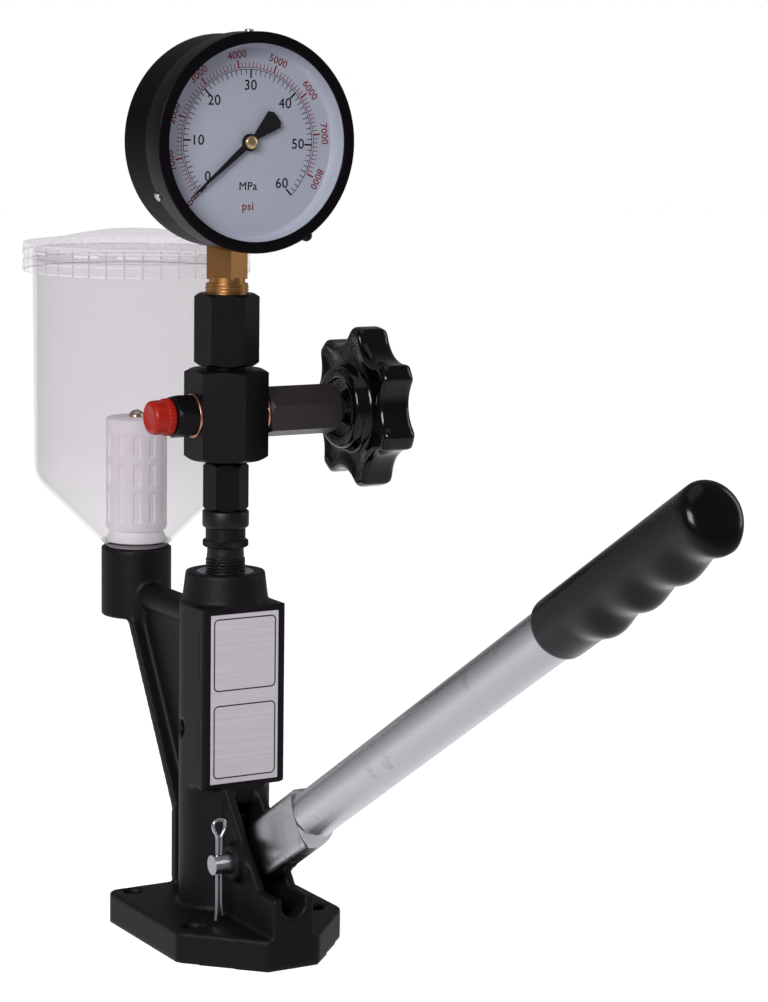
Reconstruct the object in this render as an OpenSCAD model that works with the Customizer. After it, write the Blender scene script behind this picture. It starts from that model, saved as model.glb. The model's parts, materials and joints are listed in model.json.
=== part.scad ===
// Hand-lever diesel injector tester: cast stand with a lever pump, gauge, shut-off valve and fuel tank.
// The origin is on the column axis at the underside of the base. The lever points to -Y,
// the tank stands at +Y, the outlet is at -X and the valve knob at +X.

/* [Base] */
// Distance from the bolt holes out to the side edges of the base
bolt_side_edge = 11.3; // [10:0.1:20]
// Distance from the rear bolt holes back to the edge of the base
bolt_back_edge = 7.5; // [6.5:0.5:16]
// Distance from the front bolt holes forward to where the corners are cut off
bolt_front_edge = 5.6; // [5:0.2:16]
// Distance from the column axis to the front edge of the base
base_front = 72.3; // [68:0.1:85]
// Width of the front edge between the two cut corners
base_nose_w = 26.8; // [24:0.2:40]
// Thickness of the base plate
base_t = 15.3; // [10:0.1:16]
// Radius of the upright corners of the base
base_corner_r = 6; // [2:0.5:7]
// Distance between neighbouring bolt holes
bolt_spacing = 66; // [60:1:70]
// Diameter of a bolt hole
bolt_hole_d = 9; // [6:0.5:11]

/* [Column] */
// Diameter of the round column
column_d = 44; // [42:0.5:48]
// Height of the column's shoulder above the bench
column_h = 164; // [155:0.5:180]
// Width of the squared pad that carries the label plate
pad_w = 44; // [40:0.5:46]
// Distance from the column axis to the face of the pad
pad_front = 20.4; // [19:0.1:24]
// Height of the pad
pad_h = 88; // [84:0.5:92]
// Height of the tapered boss above the shoulder
boss_h = 14.5; // [13:0.5:18]
// Diameter of the boss at the shoulder
boss_low_d = 41.8; // [40:0.2:43]
// Diameter of the boss at its top
boss_top_d = 38.2; // [34:0.2:40]
// Diameter of the machined recess in the top of the boss
boss_face_d = 27.4; // [24:0.2:30]
// Depth of the machined recess
boss_face_depth = 0.8; // [0.4:0.1:1.5]
// Diameter of the vent hole in the left side of the column
vent_d = 8; // [4:0.5:9]
// Height of the vent hole
vent_z = 102.6; // [98:0.2:104]
// Distance of the vent hole behind the column axis
vent_y = 3.5; // [0:0.5:5]
// Height of each upright slot in the sides of the pad
side_slot_h = 23; // [10:1:25]
// Width of each upright slot
side_slot_w = 1.4; // [0.8:0.1:2]
// Depth of each upright slot
side_slot_depth = 1.2; // [0.5:0.1:2]
// Distance of the slots behind the face of the pad
side_slot_y = 3.4; // [2.5:0.1:5]
// Height of the lower slots above the bottom of the pad
side_slot_low = 13; // [6:1:18]
// Height of the upper slots above the bottom of the pad
side_slot_high = 54; // [50:1:60]

/* [Label plate] */
// Width of the label plate
label_w = 36; // [30:0.5:38]
// Height of the label plate
label_h = 82; // [60:1:82]
// Thickness of the label plate
label_t = 0.6; // [0.3:0.1:1]

/* [Lever cheeks] */
// Clear width between the two cheeks
cheek_gap = 11.8; // [11.8:0.1:13]
// Thickness of each cheek
cheek_t = 4.9; // [4:0.1:6]
// Distance from the column axis to the foot of the sloping cheek edge
cheek_foot = 55.5; // [54:0.5:57]
// Height of the block that joins the cheeks at the front
nose_h = 34.2; // [32:0.1:34.4]
// Thickness of that block
nose_t = 9; // [7:0.5:10]
// Height of the bottom of the notch in the block
notch_bottom = 24.7; // [20:0.1:26]
// Distance from the column axis forward to the lever pivot
pivot_y = 35.5; // [35:0.1:37]
// Height of the lever pivot
pivot_z = 44.2; // [44:0.1:46]
// Diameter of the pivot boss on each cheek
pin_boss_d = 18; // [14:0.5:20]
// Distance from the middle plane to the face of each pivot boss
pin_boss_x = 15.5; // [13:0.5:17]

/* [Tank bracket] */
// Distance from the column axis back to the tank axis
tank_y = 99; // [95:0.5:110]
// Diameter of the cup under the tank
cup_d = 35.6; // [34.6:0.2:42]
// Height of the cup above the arm's axis
cup_above = 22; // [20:0.5:26]
// Depth of the cup below the arm's axis
cup_below = 12; // [11:0.5:18]
// Diameter of the arm between column and cup
arm_d = 14; // [13:0.5:18]
// Distance from the column's shoulder down to the arm's axis
arm_drop = 12; // [12:0.1:12.5]
// Thickness of the web under the arm
web_t = 6; // [4:0.5:8]
// Width of the flange along the edge of the web
flange_w = 20; // [12:0.5:24]
// Thickness of the flange
flange_t = 5; // [4:0.5:6]
// Distance from the tank axis forward to the top of the flange
flange_top_in = 9.5; // [9:0.5:13]
// Height of the bend in the flange
flange_bend_z = 54; // [40:1:70]
// Diameter of the fuel passage in the arm
gallery_d = 5; // [3:0.5:6]

/* [Pump] */
// Diameter of the plunger
plunger_d = 9; // [7:0.5:9.5]
// Diameter of the barrel below its head
barrel_d = 15; // [13.5:0.1:15.6]
// Diameter of the barrel's head
barrel_head_d = 17.2; // [16.8:0.1:17.6]
// Height of the top of the barrel above the arm's axis
barrel_above_arm = 14; // [13:0.1:14.5]
// Length of the barrel's head below the arm's axis
barrel_head_below_arm = 8.5; // [6:0.5:10]
// Length of the barrel inside the spring
barrel_tail = 12; // [6:0.5:16]
// Thickness of the copper ring under the barrel's head
barrel_gasket_t = 1.5; // [1:0.1:2]
// Diameter of the barrel's inlet port
port_d = 2.4; // [1.6:0.2:3]
// Diameter of the spring chamber in the column
chamber_d = 30; // [29:0.2:31]
// Distance from the arm's axis down to the roof of the spring chamber
chamber_drop = 44; // [40:0.5:46]
// Thickness of the tappet's floor
tappet_floor = 8; // [6:0.5:10]
// Height of the tappet's skirt above its floor
tappet_skirt = 12; // [8:0.5:14]
// Wall of the tappet's skirt
tappet_wall = 1.9; // [1.5:0.1:2.2]
// Thickness of the plunger's foot
foot_t = 3; // [2:0.5:4]
// Diameter of the plunger's foot
foot_d = 14; // [12:0.5:16]
// Thickness of each spring plate
spring_plate_t = 2; // [1.5:0.5:3]
// Mean diameter of the return spring
spring_d = 20.8; // [20:0.2:21.4]
// Diameter of the return spring's wire
spring_wire = 2; // [1.4:0.1:2.4]
// Number of coils of the return spring
spring_coils = 8; // [5:1:10]

/* [Delivery valve] */
// Diameter of the threads in the top of the column
holder_d = 19; // [18.6:0.1:20]
// Thickness of the delivery valve's seat
seat_t = 5; // [4:0.5:5.5]
// Diameter of the guide in the seat
valve_guide_d = 4; // [3:0.2:4.4]
// Diameter of the valve's head
valve_head_d = 7; // [6:0.2:7.4]
// Height of the valve's head
valve_head_h = 3; // [2:0.5:4]
// Diameter of the chamber over the valve
valve_chamber_d = 8.4; // [8:0.2:9]
// Height of the chamber over the valve
valve_chamber_h = 15; // [13:0.5:17]
// Diameter of the valve spring's wire
valve_spring_wire = 0.9; // [0.6:0.1:1]
// Number of coils of the valve spring
valve_spring_coils = 5; // [3:1:6]

/* [Valve holder] */
// Length of thread that shows above the boss
holder_thread_h = 6.8; // [4:0.2:10]
// Length of the waist above the thread
holder_waist_h = 5.1; // [3:0.1:8]
// Diameter of the top of the waist
holder_waist_d = 17.6; // [15:0.2:18.4]
// Height of the lower ring
holder_low_ring_h = 3.2; // [2:0.2:5]
// Diameter of the lower ring
holder_low_ring_d = 22; // [20:0.2:24]
// Length of the neck between the rings
holder_neck_h = 6.1; // [4:0.1:9]
// Diameter of that neck
holder_neck_d = 19.2; // [17:0.2:20]
// Height of the upper ring
holder_top_ring_h = 8.2; // [5:0.2:11]
// Diameter of the upper ring
holder_top_ring_d = 22.4; // [20:0.2:25]
// Diameter of the spigot inside the union nut
holder_spigot_d = 13; // [10:0.5:14]
// Length of that spigot
holder_spigot_h = 11; // [8:0.5:13]
// Diameter of the high-pressure passage
passage_d = 3; // [2:0.2:3.6]

/* [Valve head] */
// Size across flats of the union nut
union_af = 19; // [18:0.5:24]
// Height of the union nut
union_h = 23; // [18:0.5:30]
// Turn of the union nut's flats
union_clock = 8; // [0:1:59]
// Diameter of the union nut's spigot in the valve block
union_spigot_d = 14; // [10:0.5:15]
// Length of that spigot in the block
union_spigot_h = 10; // [7:0.5:11]
// Gap between the union nut and the block
union_gap = 1.6; // [0.6:0.1:2.4]
// Size across flats of the valve block
block_af = 35; // [34:0.5:40]
// Height of the valve block
block_h = 43.2; // [43:0.2:54]
// Height of the cross bore above the bottom of the block
cross_z = 21.6; // [21:0.1:22.2]
// Gap between the block and the gauge nut
gauge_nut_gap = 1.8; // [0.6:0.1:2.4]
// Size across flats of the gauge nut
gauge_nut_af = 27; // [25:0.5:32]
// Height of the gauge nut
gauge_nut_h = 34.2; // [28:0.2:40]
// Diameter of the gauge nut's spigot in the block
gauge_spigot_d = 18.4; // [16:0.2:19]
// Length of that spigot in the block
gauge_spigot_h = 8; // [6:0.5:8.5]
// Turned chamfer on the ends of the hexagons
hex_chamfer = 1.6; // [0.8:0.1:2]

/* [Outlet] */
// Outer diameter of the copper washers
copper_d = 21; // [20:0.5:24]
// Thickness of the copper washers
copper_t = 1.3; // [0.8:0.1:2]
// Size across flats of the outlet nipple
nipple_af = 19; // [17:0.5:22]
// Length of the nipple's hexagon
nipple_hex_l = 5.2; // [4:0.1:9]
// Turn of the outlet's hexagon
nipple_clock = 36; // [0:1:59]
// Turn of the bonnet's hexagon
bonnet_clock = 41; // [0:1:59]
// Diameter of the outlet thread
outlet_d = 14; // [12:0.5:14]
// Length of the outlet thread under the cap
outlet_l = 12; // [9:0.5:13]
// Length of the nipple's thread inside the block
nipple_in = 9.5; // [6:0.5:10]
// Length of the dust cap
cap_l = 16.2; // [15.6:0.1:22]
// Diameter of the cap's rim
cap_rim_d = 17.8; // [17.2:0.2:20]
// Diameter of the cap behind its rim
cap_d = 16.6; // [16.2:0.2:17]
// Length of the cap's rim
cap_rim_l = 3.4; // [2:0.2:6]
// Gap between the cap and the hexagon
cap_gap = 0.6; // [0.3:0.1:2]

/* [Shut-off valve] */
// Size across flats of the bonnet
bonnet_af = 22; // [20:0.5:26]
// Length of the bonnet's hexagon
bonnet_l = 39; // [34:0.5:50]
// Diameter of the bonnet's spigot in the block
bonnet_spigot_d = 18; // [15:0.5:18]
// Length of that spigot in the block
bonnet_in = 8.5; // [6:0.5:9]
// Diameter of the spindle
spindle_d = 8; // [6:0.2:9]
// Diameter of the needle at the spindle's end
needle_d = 4.8; // [4.4:0.2:5]
// Length of the needle's threaded tail inside the spindle
needle_tail_l = 8; // [6:0.5:12]
// Travel of the needle from shut to open
needle_lift = 3; // [2:0.5:4]
// Distance from the stack axis to the needle's seat
seat_x = 4; // [3.5:0.1:4.5]
// Diameter of the gland recess in the bonnet
gland_d = 14; // [12:0.5:16]
// Depth of the gland recess
gland_depth = 10; // [8:0.5:14]
// Length of the packing in the recess
packing_l = 5; // [3:0.5:6]
// Thickness of the gland nut's flange
gland_flange_t = 2; // [1.5:0.5:4]
// Diameter of the gland nut's flange
gland_flange_d = 18; // [17:0.5:20]

/* [Knob] */
// Diameter over the lobes
knob_d = 79; // [70:1:90]
// Number of lobes
knob_lobes = 7; // [5:1:9]
// Diameter of the cut between two lobes
knob_scallop_d = 40; // [36:1:44]
// Depth of the cut between two lobes
knob_scallop_depth = 7.5; // [5:0.5:9]
// Turn of the lobes from straight up
knob_clock = 7.8; // [0:0.1:51]
// Thickness of the knob's rim
knob_t = 17.6; // [12:0.2:20]
// Diameter of the knob's hub
knob_hub_d = 40; // [30:0.5:44]
// Length of the hub behind the rim
knob_hub_l = 6; // [4:0.5:10]
// Diameter of the knob screw's head
knob_screw_head_d = 12; // [10:0.5:16]
// Thickness of the screw's head
knob_screw_head_t = 2.8; // [2:0.2:4]
// Diameter of the screw's shank
knob_screw_d = 5; // [4:0.5:5]

/* [Gauge socket] */
// Diameter of the gauge socket's thread
stem_d = 20; // [18:0.5:21]
// Length of thread inside the gauge nut
stem_in = 18; // [12:0.5:20]
// Length of thread that shows above the nut
stem_show = 6.7; // [4:0.1:10]
// Width of the turned groove above the thread
stem_groove_w = 1.9; // [1:0.1:3]
// Diameter of the groove
stem_groove_d = 17.2; // [15:0.2:17.8]
// Size across flats of the socket's square
square_af = 14; // [13:0.5:16]
// Height of the square
square_h = 12.6; // [10:0.2:16]
// Turn of the square
square_clock = 29; // [0:1:89]
// Diameter of the neck into the case
stem_neck_d = 12; // [10:0.5:13]
// Gap between the square and the case
stem_neck_show = 2.3; // [1:0.1:5]
// Thickness of the seal under the socket
gauge_washer_t = 1.5; // [1:0.1:2]
// Width of the socket's block inside the case
socket_w = 20; // [16:0.5:22]
// Height of that block
socket_h = 11; // [8:0.5:12]
// Distance from the case's rim up to the block
socket_rise = 7.7; // [5:0.1:9]
// Distance from the stack axis back to the rear of the block
socket_back = 5; // [4:0.1:5.2]

/* [Gauge case] */
// Diameter of the gauge case
case_d = 100; // [98:0.5:104]
// Distance from the stack axis back to the rear of the case
case_back = 7.5; // [7.5:0.1:12]
// Distance from the stack axis forward to the seam
case_seam = 15; // [15:0.1:18]
// Wall of the case
case_wall = 2; // [1.2:0.1:2.2]
// Diameter of the bezel
bezel_d = 102; // [101.4:0.2:106]
// Distance from the stack axis forward to the front of the bezel
bezel_front = 30.9; // [30:0.1:36]
// Diameter of the opening in the bezel
bezel_open_d = 92.8; // [88:0.2:94]
// Thickness of the bezel's lip
bezel_lip = 3.7; // [2:0.1:5]
// Wall of the bezel's skirt
bezel_wall = 2; // [1.5:0.1:2.2]
// Thickness of the window
window_t = 2; // [1.5:0.1:3]
// Thickness of the gasket behind the window
window_gasket_t = 1; // [0.5:0.1:1.5]
// Diameter of the bezel screws' heads
bezel_screw_d = 4.4; // [3:0.2:5]
// Height of the screw heads above the skirt
bezel_screw_h = 1.2; // [0.8:0.1:2]
// Diameter of the dial
dial_d = 92; // [88:0.5:93]
// Thickness of the dial
dial_t = 1; // [0.6:0.1:1.5]
// Distance from the stack axis forward to the back of the dial
dial_y = 19.6; // [18:0.1:19.9]

/* [Gauge movement] */
// Length of the pointer from its hub to its tip
pointer_l = 40; // [32:0.5:42]
// Length of the pointer's fan-shaped tail
pointer_tail_l = 18.5; // [12:0.5:22]
// Width of the tail's end
pointer_tail_w = 10; // [6:0.5:12]
// Thickness of the pointer
pointer_t = 0.8; // [0.5:0.1:1]
// Diameter of the pointer's hub
pointer_hub_d = 8.2; // [7:0.2:9]
// Diameter of the pointer's arbor
arbor_d = 2; // [1.6:0.1:2.2]
// Tooth module of the pinion and the sector
tooth_module = 0.6; // [0.56:0.01:0.62]
// Number of teeth of the pinion
pinion_teeth = 8; // [8:1:8]
// Number of teeth of a full sector wheel
sector_teeth = 80; // [80:1:80]
// Thickness of the sector
sector_t = 2; // [1.5:0.1:2.2]
// Radius of the arc slot in the sector's tail
tail_slot_r = 10; // [9:0.5:11]
// Diameter of the link's pin in the slot
link_pin_d = 1.6; // [1.2:0.1:2]
// Thickness of each movement plate
plate_t = 1.5; // [1:0.1:1.5]
// Width of the movement plates
plate_w = 26; // [25:0.5:28]
// Clear space between the movement plates
plate_gap = 7; // [7:0.1:7.4]
// Mean radius of the Bourdon tube
bourdon_r = 35.75; // [35:0.25:38]
// Thickness of the Bourdon tube along its radius
bourdon_t = 3.5; // [2.5:0.1:4]
// Width of the Bourdon tube
bourdon_w = 7; // [5:0.5:8]
// Sweep of the Bourdon tube
bourdon_sweep = 262; // [250:1:265]

/* [Tank] */
// Diameter of the tank at its top
tank_d = 104; // [98:1:112]
// Diameter of the tank where the cone begins
tank_low_d = 102.6; // [96:0.2:110]
// Diameter of the tank's neck
neck_d = 30.4; // [29:0.2:30.6]
// Height of the neck above the gasket
neck_h = 6.5; // [5:0.5:9]
// Height of the cone
cone_h = 36; // [30:0.5:44]
// Height of the straight wall above the cone
tank_wall_h = 112; // [80:1:130]
// Wall of the tank
tank_wall = 2; // [1.5:0.1:3]
// Thickness of the tank's floor
tank_floor = 4.5; // [3:0.1:5]
// Depth of the recess in the cup
cup_recess = 4; // [3:0.5:6]
// Thickness of the gasket under the tank
tank_gasket_t = 1.5; // [1:0.1:2]
// Distance that the lid stands out round the tank
lid_over = 5; // [4.5:0.1:8]
// Depth of the lid's skirt
lid_skirt = 14; // [8:0.5:18]
// Wall of the lid
lid_wall = 1.6; // [1.2:0.1:2]
// Thickness of the lid's top
lid_t = 2.2; // [1.5:0.1:3]
// Diameter of the raised middle of the lid
lid_dome_d = 80; // [60:1:90]
// Rise of the lid's sloping edge
lid_edge_rise = 1.8; // [1:0.1:3]
// Rise of the lid's middle
lid_dome_rise = 4.5; // [3:0.1:7]

/* [Filter] */
// Diameter of the filter cage
filter_d = 31; // [26:0.5:32]
// Height of the filter cage
filter_h = 60; // [40:1:70]
// Wall of the filter cage
filter_wall = 2; // [1.5:0.1:2.5]
// Number of windows round the cage
filter_windows = 6; // [4:1:8]
// Number of tiers of windows
filter_tiers = 3; // [2:1:4]
// Width of the bars between windows
filter_bar = 5; // [3:0.5:6]
// Thickness of the filter mesh
mesh_t = 0.5; // [0.3:0.1:1]
// Height of the seat under the filter
filter_seat_h = 8; // [7:0.5:10]
// Diameter of the hollow bolt in the cup
bolt_d = 8; // [6:0.5:8.4]
// Diameter of the rod through the filter
rod_d = 5; // [4:0.5:5.5]
// Diameter of the dome on top of the rod
dome_d = 8.4; // [7:0.2:10]
// Height of the dome
dome_h = 4.3; // [3:0.1:5]

/* [Lever] */
// Angle of the lever above the bench
lever_angle = 31.6; // [30:0.1:34]
// Working swing of the lever
lever_swing = 26; // [22:1:27]
// Diameter of the lever tube
tube_d = 23; // [21:0.5:25]
// Height of the round tube's axis over the line through the pivot
tube_rise = 1.1; // [0:0.1:2]
// Wall of the lever tube
tube_wall = 1.8; // [1.5:0.1:2.2]
// Height of the pressed flat end
flat_h = 28.6; // [26:0.1:28.8]
// Height of the flat end's middle over the line through the pivot
flat_rise = 1.4; // [0.6:0.1:1.6]
// Thickness of the pressed flat end
flat_t = 11; // [10:0.1:11]
// Distance from the pivot to where the flat ends
flat_end = 58; // [52:0.5:64]
// Length of the change from flat to round
flare_l = 10; // [8:0.5:20]
// Distance from the pivot to the start of the grip
grip_start = 297.5; // [250:0.5:320]
// Length of the grip
grip_l = 119.5; // [110:0.5:150]
// Diameter of the grip
grip_d = 27.2; // [26:0.1:29]
// Number of finger ridges under the grip
grip_ridges = 4; // [3:1:4]
// Distance between neighbouring ridges
grip_pitch = 27; // [24:0.5:28]
// Height of the ridges
grip_ridge_h = 3; // [1.5:0.1:4]
// Thickness of the grip's closed end
grip_end_t = 6; // [5:0.5:9]
// Diameter of the rocker's hub
hub_d = 20; // [18:0.5:20]
// Radius of the rocker's nose under the tappet
nose_r = 5; // [4:0.1:6]
// Diameter of the pivot pin
pin_d = 9.4; // [8:0.2:10]
// Length of the pin that stands out of the left boss
pin_show = 9; // [7.5:0.5:10]
// Diameter of the pin's head
pin_head_d = 13; // [11:0.5:16]
// Thickness of the pin's head
pin_head_t = 3; // [2:0.5:4]
// Diameter of the cotter pin's hole
cotter_d = 3.8; // [2.5:0.1:4]
// Length of the cotter pin above the pivot
cotter_up = 22.4; // [16:0.2:24]
// Length of the cotter pin below the pivot
cotter_down = 27.6; // [16:0.2:27.8]
// Width of the cotter pin's eye
cotter_eye_d = 7.8; // [6:0.2:9]

/* [Fits] */
// Radial gap of pieces that turn or slide on each other
running_gap = 0.05; // [0.02:0.01:0.08]
// Gap between pieces that are screwed or pushed together
fit_gap = 0.05; // [0.02:0.01:0.1]
// Gap between moving pieces that push on each other
push_gap = 0.3; // [0.2:0.05:0.4]

/* [Hidden] */
$fn = 64;
tiny = 0.01;

// Outline of the base round its bolt holes
base_w = bolt_spacing + 2 * bolt_side_edge;
base_back = bolt_spacing / 2 + bolt_back_edge;
base_side_front = bolt_spacing / 2 + bolt_front_edge;

// Heights of the column and its bracket
boss_top = column_h + boss_h;
pad_bottom = column_h - pad_h;
arm_z = column_h - arm_drop;
cup_top = arm_z + cup_above;
cup_bottom = arm_z - cup_below;
cheek_x = cheek_gap / 2 + cheek_t;
notch_r = cheek_gap / 2;
flange_low_y = base_back - 3;

// Lever and tappet travel
half_swing = lever_swing / 2;
tail_l = 2 * pivot_y / (1 + cos(half_swing));
nose_y = -pivot_y + tail_l * cos(half_swing);
nose_z = pivot_z - tail_l * sin(half_swing);
stroke = 2 * tail_l * sin(half_swing);
tappet_z = nose_z + nose_r + push_gap;

// Pump heights
chamber_top = arm_z - chamber_drop;
barrel_top = arm_z + barrel_above_arm;
barrel_head_z = arm_z - barrel_head_below_arm;
barrel_ledge = barrel_head_z - barrel_gasket_t;
barrel_low = chamber_top - barrel_tail;
foot_z = tappet_z + tappet_floor;
retainer_z = foot_z + foot_t;
spring_low = retainer_z + spring_plate_t;
spring_high = chamber_top - spring_plate_t;
plunger_top = barrel_top - stroke - 0.5;
seat_top = barrel_top + seat_t;
valve_rest = seat_top + fit_gap;
valve_top = valve_rest + valve_head_h;
valve_chamber_top = seat_top + valve_chamber_h;

// Heights of the valve holder
waist_z = boss_top + holder_thread_h;
low_ring_z = waist_z + holder_waist_h;
neck_z = low_ring_z + holder_low_ring_h;
top_ring_z = neck_z + holder_neck_h;
union_z = top_ring_z + holder_top_ring_h;

// Heights of the valve head and gauge
union_top = union_z + union_h;
block_z = union_top + union_gap;
block_top = block_z + block_h;
cross = block_z + cross_z;
gauge_nut_z = block_top + gauge_nut_gap;
gauge_nut_top = gauge_nut_z + gauge_nut_h;
stem_z = gauge_nut_top - stem_in;
square_z = gauge_nut_top + stem_show;
square_top = square_z + square_h;
gauge_z = square_top + stem_neck_show + case_d / 2;

// Outlet and valve along X
block_x = block_af / 2;
side_x = block_x + copper_t;
cap_x = side_x + nipple_hex_l + cap_gap;
bonnet_end = side_x + bonnet_l;
bonnet_tip = block_x - bonnet_in;
spindle_x = bonnet_tip + 1.5;
hub_x = bonnet_end + gland_flange_t + push_gap;
knob_x = hub_x + knob_hub_l;
knob_face = knob_x + knob_t;
screw_recess = knob_face - knob_screw_head_t - 0.2;

// Gauge depths, measured forward from the stack axis
case_r = case_d / 2;
bezel_r = bezel_d / 2;
rim_r = bezel_r - bezel_wall - 2 * fit_gap;
lip_y = bezel_front - bezel_lip;
window_y = lip_y - window_t;
rim_y = window_y - window_gasket_t;
pointer_y = dial_y + dial_t + 1.5;
back_plate_y = 5.5;
movement_y = back_plate_y + plate_t;
front_plate_y = movement_y + plate_gap;
sector_y = movement_y + 2.5;
spring_y = movement_y + 5.4;
hairspring_r = 5.5;
socket_low = gauge_z - case_r + socket_rise;
socket_top = socket_low + socket_h;

// Gear sizes
pinion_r = tooth_module * pinion_teeth / 2;
sector_r = tooth_module * sector_teeth / 2;
gear_distance = pinion_r + sector_r;
pointer_sweep = 270;
sector_swing = pointer_sweep * pinion_teeth / sector_teeth;

// Tank heights
gasket_z = cup_top - cup_recess;
tank_z = gasket_z + tank_gasket_t;
cone_z = tank_z + neck_h;
wall_z = cone_z + cone_h;
tank_top = wall_z + tank_wall_h;
floor_z = tank_z + tank_floor;
filter_z = floor_z + filter_seat_h;
filter_top = filter_z + filter_h;
lid_under = tank_top + push_gap;
lid_top = lid_under + lid_t;

black = [0.09, 0.085, 0.1];
steel = [0.72, 0.72, 0.74];
brass = [0.78, 0.6, 0.25];
copper = [0.75, 0.45, 0.32];
clear = [0.9, 0.88, 0.93, 0.4];
rubber = [0.06, 0.06, 0.06];

// Rod along X from x1 to x2
module rod_x(r, x1, x2) {
  translate([x1, 0, 0]) rotate([0, 90, 0]) cylinder(r = r, h = x2 - x1);
}

// Rod along Y, forward from f1 to f2
module rod_front(r, f1, f2) {
  translate([0, -f1, 0]) rotate([90, 0, 0]) cylinder(r = r, h = f2 - f1);
}

// Flat ring standing on z
module ring(r_out, r_in, z, h) {
  translate([0, 0, z]) difference() {
    cylinder(r = r_out, h = h);
    translate([0, 0, -1]) cylinder(r = r_in, h = h + 2);
  }
}

// Hexagon bar with turned chamfers on both ends, flats facing +X and -X at zero turn
module hex_bar(af, h, turn = 0) {
  r_corner = af / 2 / cos(30);
  r_end = af / 2 - 0.3;
  intersection() {
    rotate(turn + 30) cylinder(r = r_corner, h = h, $fn = 6);
    rotate_extrude() polygon([[0, 0], [r_end, 0], [r_corner + 0.1, hex_chamfer],
      [r_corner + 0.1, h - hex_chamfer], [r_end, h], [0, h]]);
  }
}

// Corner points of an outline with each corner replaced by an arc
function rounded(points, r, steps = 5) = [for (i = [0 : len(points) - 1])
  let (n = len(points), p = points[i], a = points[(i + n - 1) % n] - p, b = points[(i + 1) % n] - p,
    ua = a / norm(a), ub = b / norm(b), half = acos(ua * ub) / 2, bis = (ua + ub) / norm(ua + ub),
    centre = p + bis * r / sin(half), start = -bis, turn = 90 - half, way = -sign(cross2(ua, ub)))
  for (k = [0 : steps]) let (t = way * turn * (2 * k / steps - 1))
    centre + r * [start[0] * cos(t) - start[1] * sin(t), start[0] * sin(t) + start[1] * cos(t)]];
function cross2(a, b) = a[0] * b[1] - a[1] * b[0];

// One unbroken wire wound in a helix that stands on the XY plane
module helix(r, wire_r, z1, z2, coils, per_coil = 12, sides = 6) {
  steps = coils * per_coil;
  low = z1 + wire_r;
  high = z2 - wire_r;
  points = [for (i = [0 : steps]) let (t = 360 * i / per_coil) for (k = [0 : sides - 1])
    let (a = 360 * k / sides, rr = r + wire_r * cos(a))
    [rr * cos(t), rr * sin(t), low + (high - low) * i / steps + wire_r * sin(a)]];
  walls = [for (i = [0 : steps - 1]) for (k = [0 : sides - 1]) let (n = (k + 1) % sides)
    each [[i * sides + k, (i + 1) * sides + k, (i + 1) * sides + n],
      [i * sides + k, (i + 1) * sides + n, i * sides + n]]];
  first = [for (k = [1 : sides - 2]) [0, k, k + 1]];
  end = steps * sides;
  last = [for (k = [1 : sides - 2]) [end, end + k + 1, end + k]];
  polyhedron(points, concat(walls, first, last));
}

// Upright plate in the YZ plane from an outline of [y, z] points, centred on X
module side_plate(outline, t) {
  translate([-t / 2, 0, 0]) rotate([90, 0, 90]) linear_extrude(t) polygon(outline);
}

// Everything of the lever is drawn along -Y and then lifted to its angle
module at_lever() {
  translate([0, -pivot_y, pivot_z]) rotate([-lever_angle, 0, 0]) children();
}

// Everything of the gauge is drawn round the Y axis and then lifted to the gauge's middle
module at_gauge() {
  translate([0, 0, gauge_z]) children();
}

base_outline = rounded([[-base_w / 2, base_back], [-base_w / 2, -base_side_front],
  [-base_nose_w / 2, -base_front], [base_nose_w / 2, -base_front],
  [base_w / 2, -base_side_front], [base_w / 2, base_back]], base_corner_r);

cheek_outline = [[0, base_t - 1], [0, pad_bottom + 1], [-pad_front + 1, pad_bottom + 1],
  [-pad_front - 0.5, pad_bottom], [-cheek_foot, nose_h], [-base_front, nose_h], [-base_front, base_t - 1]];

flange_outline = [[tank_y - flange_top_in, cup_bottom + 1], [flange_low_y, flange_bend_z],
  [flange_low_y, base_t - 1], [flange_low_y - flange_t, base_t - 1],
  [flange_low_y - flange_t, flange_bend_z + flange_t / 3],
  [tank_y - flange_top_in - flange_t * 1.2, cup_bottom + 1]];

web_outline = [[0, base_t - 1], [0, arm_z], [tank_y - flange_top_in - 1, arm_z],
  [tank_y - flange_top_in - 1, cup_bottom], [flange_low_y - 1, flange_bend_z], [flange_low_y - 1, base_t - 1]];

module casting_solid() {
  linear_extrude(base_t) polygon(base_outline);
  difference() {
    translate([0, 0, base_t - 1]) cylinder(d = column_d, h = column_h - base_t + 1);
    translate([-column_d, -column_d - pad_front, pad_bottom]) cube([2 * column_d, column_d, pad_h + 1]);
  }
  translate([-pad_w / 2, -pad_front, pad_bottom]) cube([pad_w, pad_front, pad_h]);
  translate([0, 0, column_h - tiny]) cylinder(d1 = boss_low_d, d2 = boss_top_d, h = boss_h + tiny);
  for (side = [-1, 1]) {
    translate([side * (cheek_gap + cheek_t) / 2, 0, 0]) side_plate(cheek_outline, cheek_t);
    translate([0, -pivot_y, pivot_z]) rod_x(pin_boss_d / 2, side > 0 ? cheek_gap / 2 : -pin_boss_x,
      side > 0 ? pin_boss_x : -cheek_gap / 2);
  }
  translate([-cheek_x, -base_front, base_t - 1]) cube([2 * cheek_x, nose_t, nose_h - base_t + 1]);
  translate([0, tank_y, cup_bottom]) cylinder(d = cup_d, h = cup_top - cup_bottom);
  translate([0, tank_y, arm_z]) rod_front(arm_d / 2, 0, tank_y);
  side_plate(web_outline, web_t);
  side_plate(flange_outline, flange_w);
}

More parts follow.
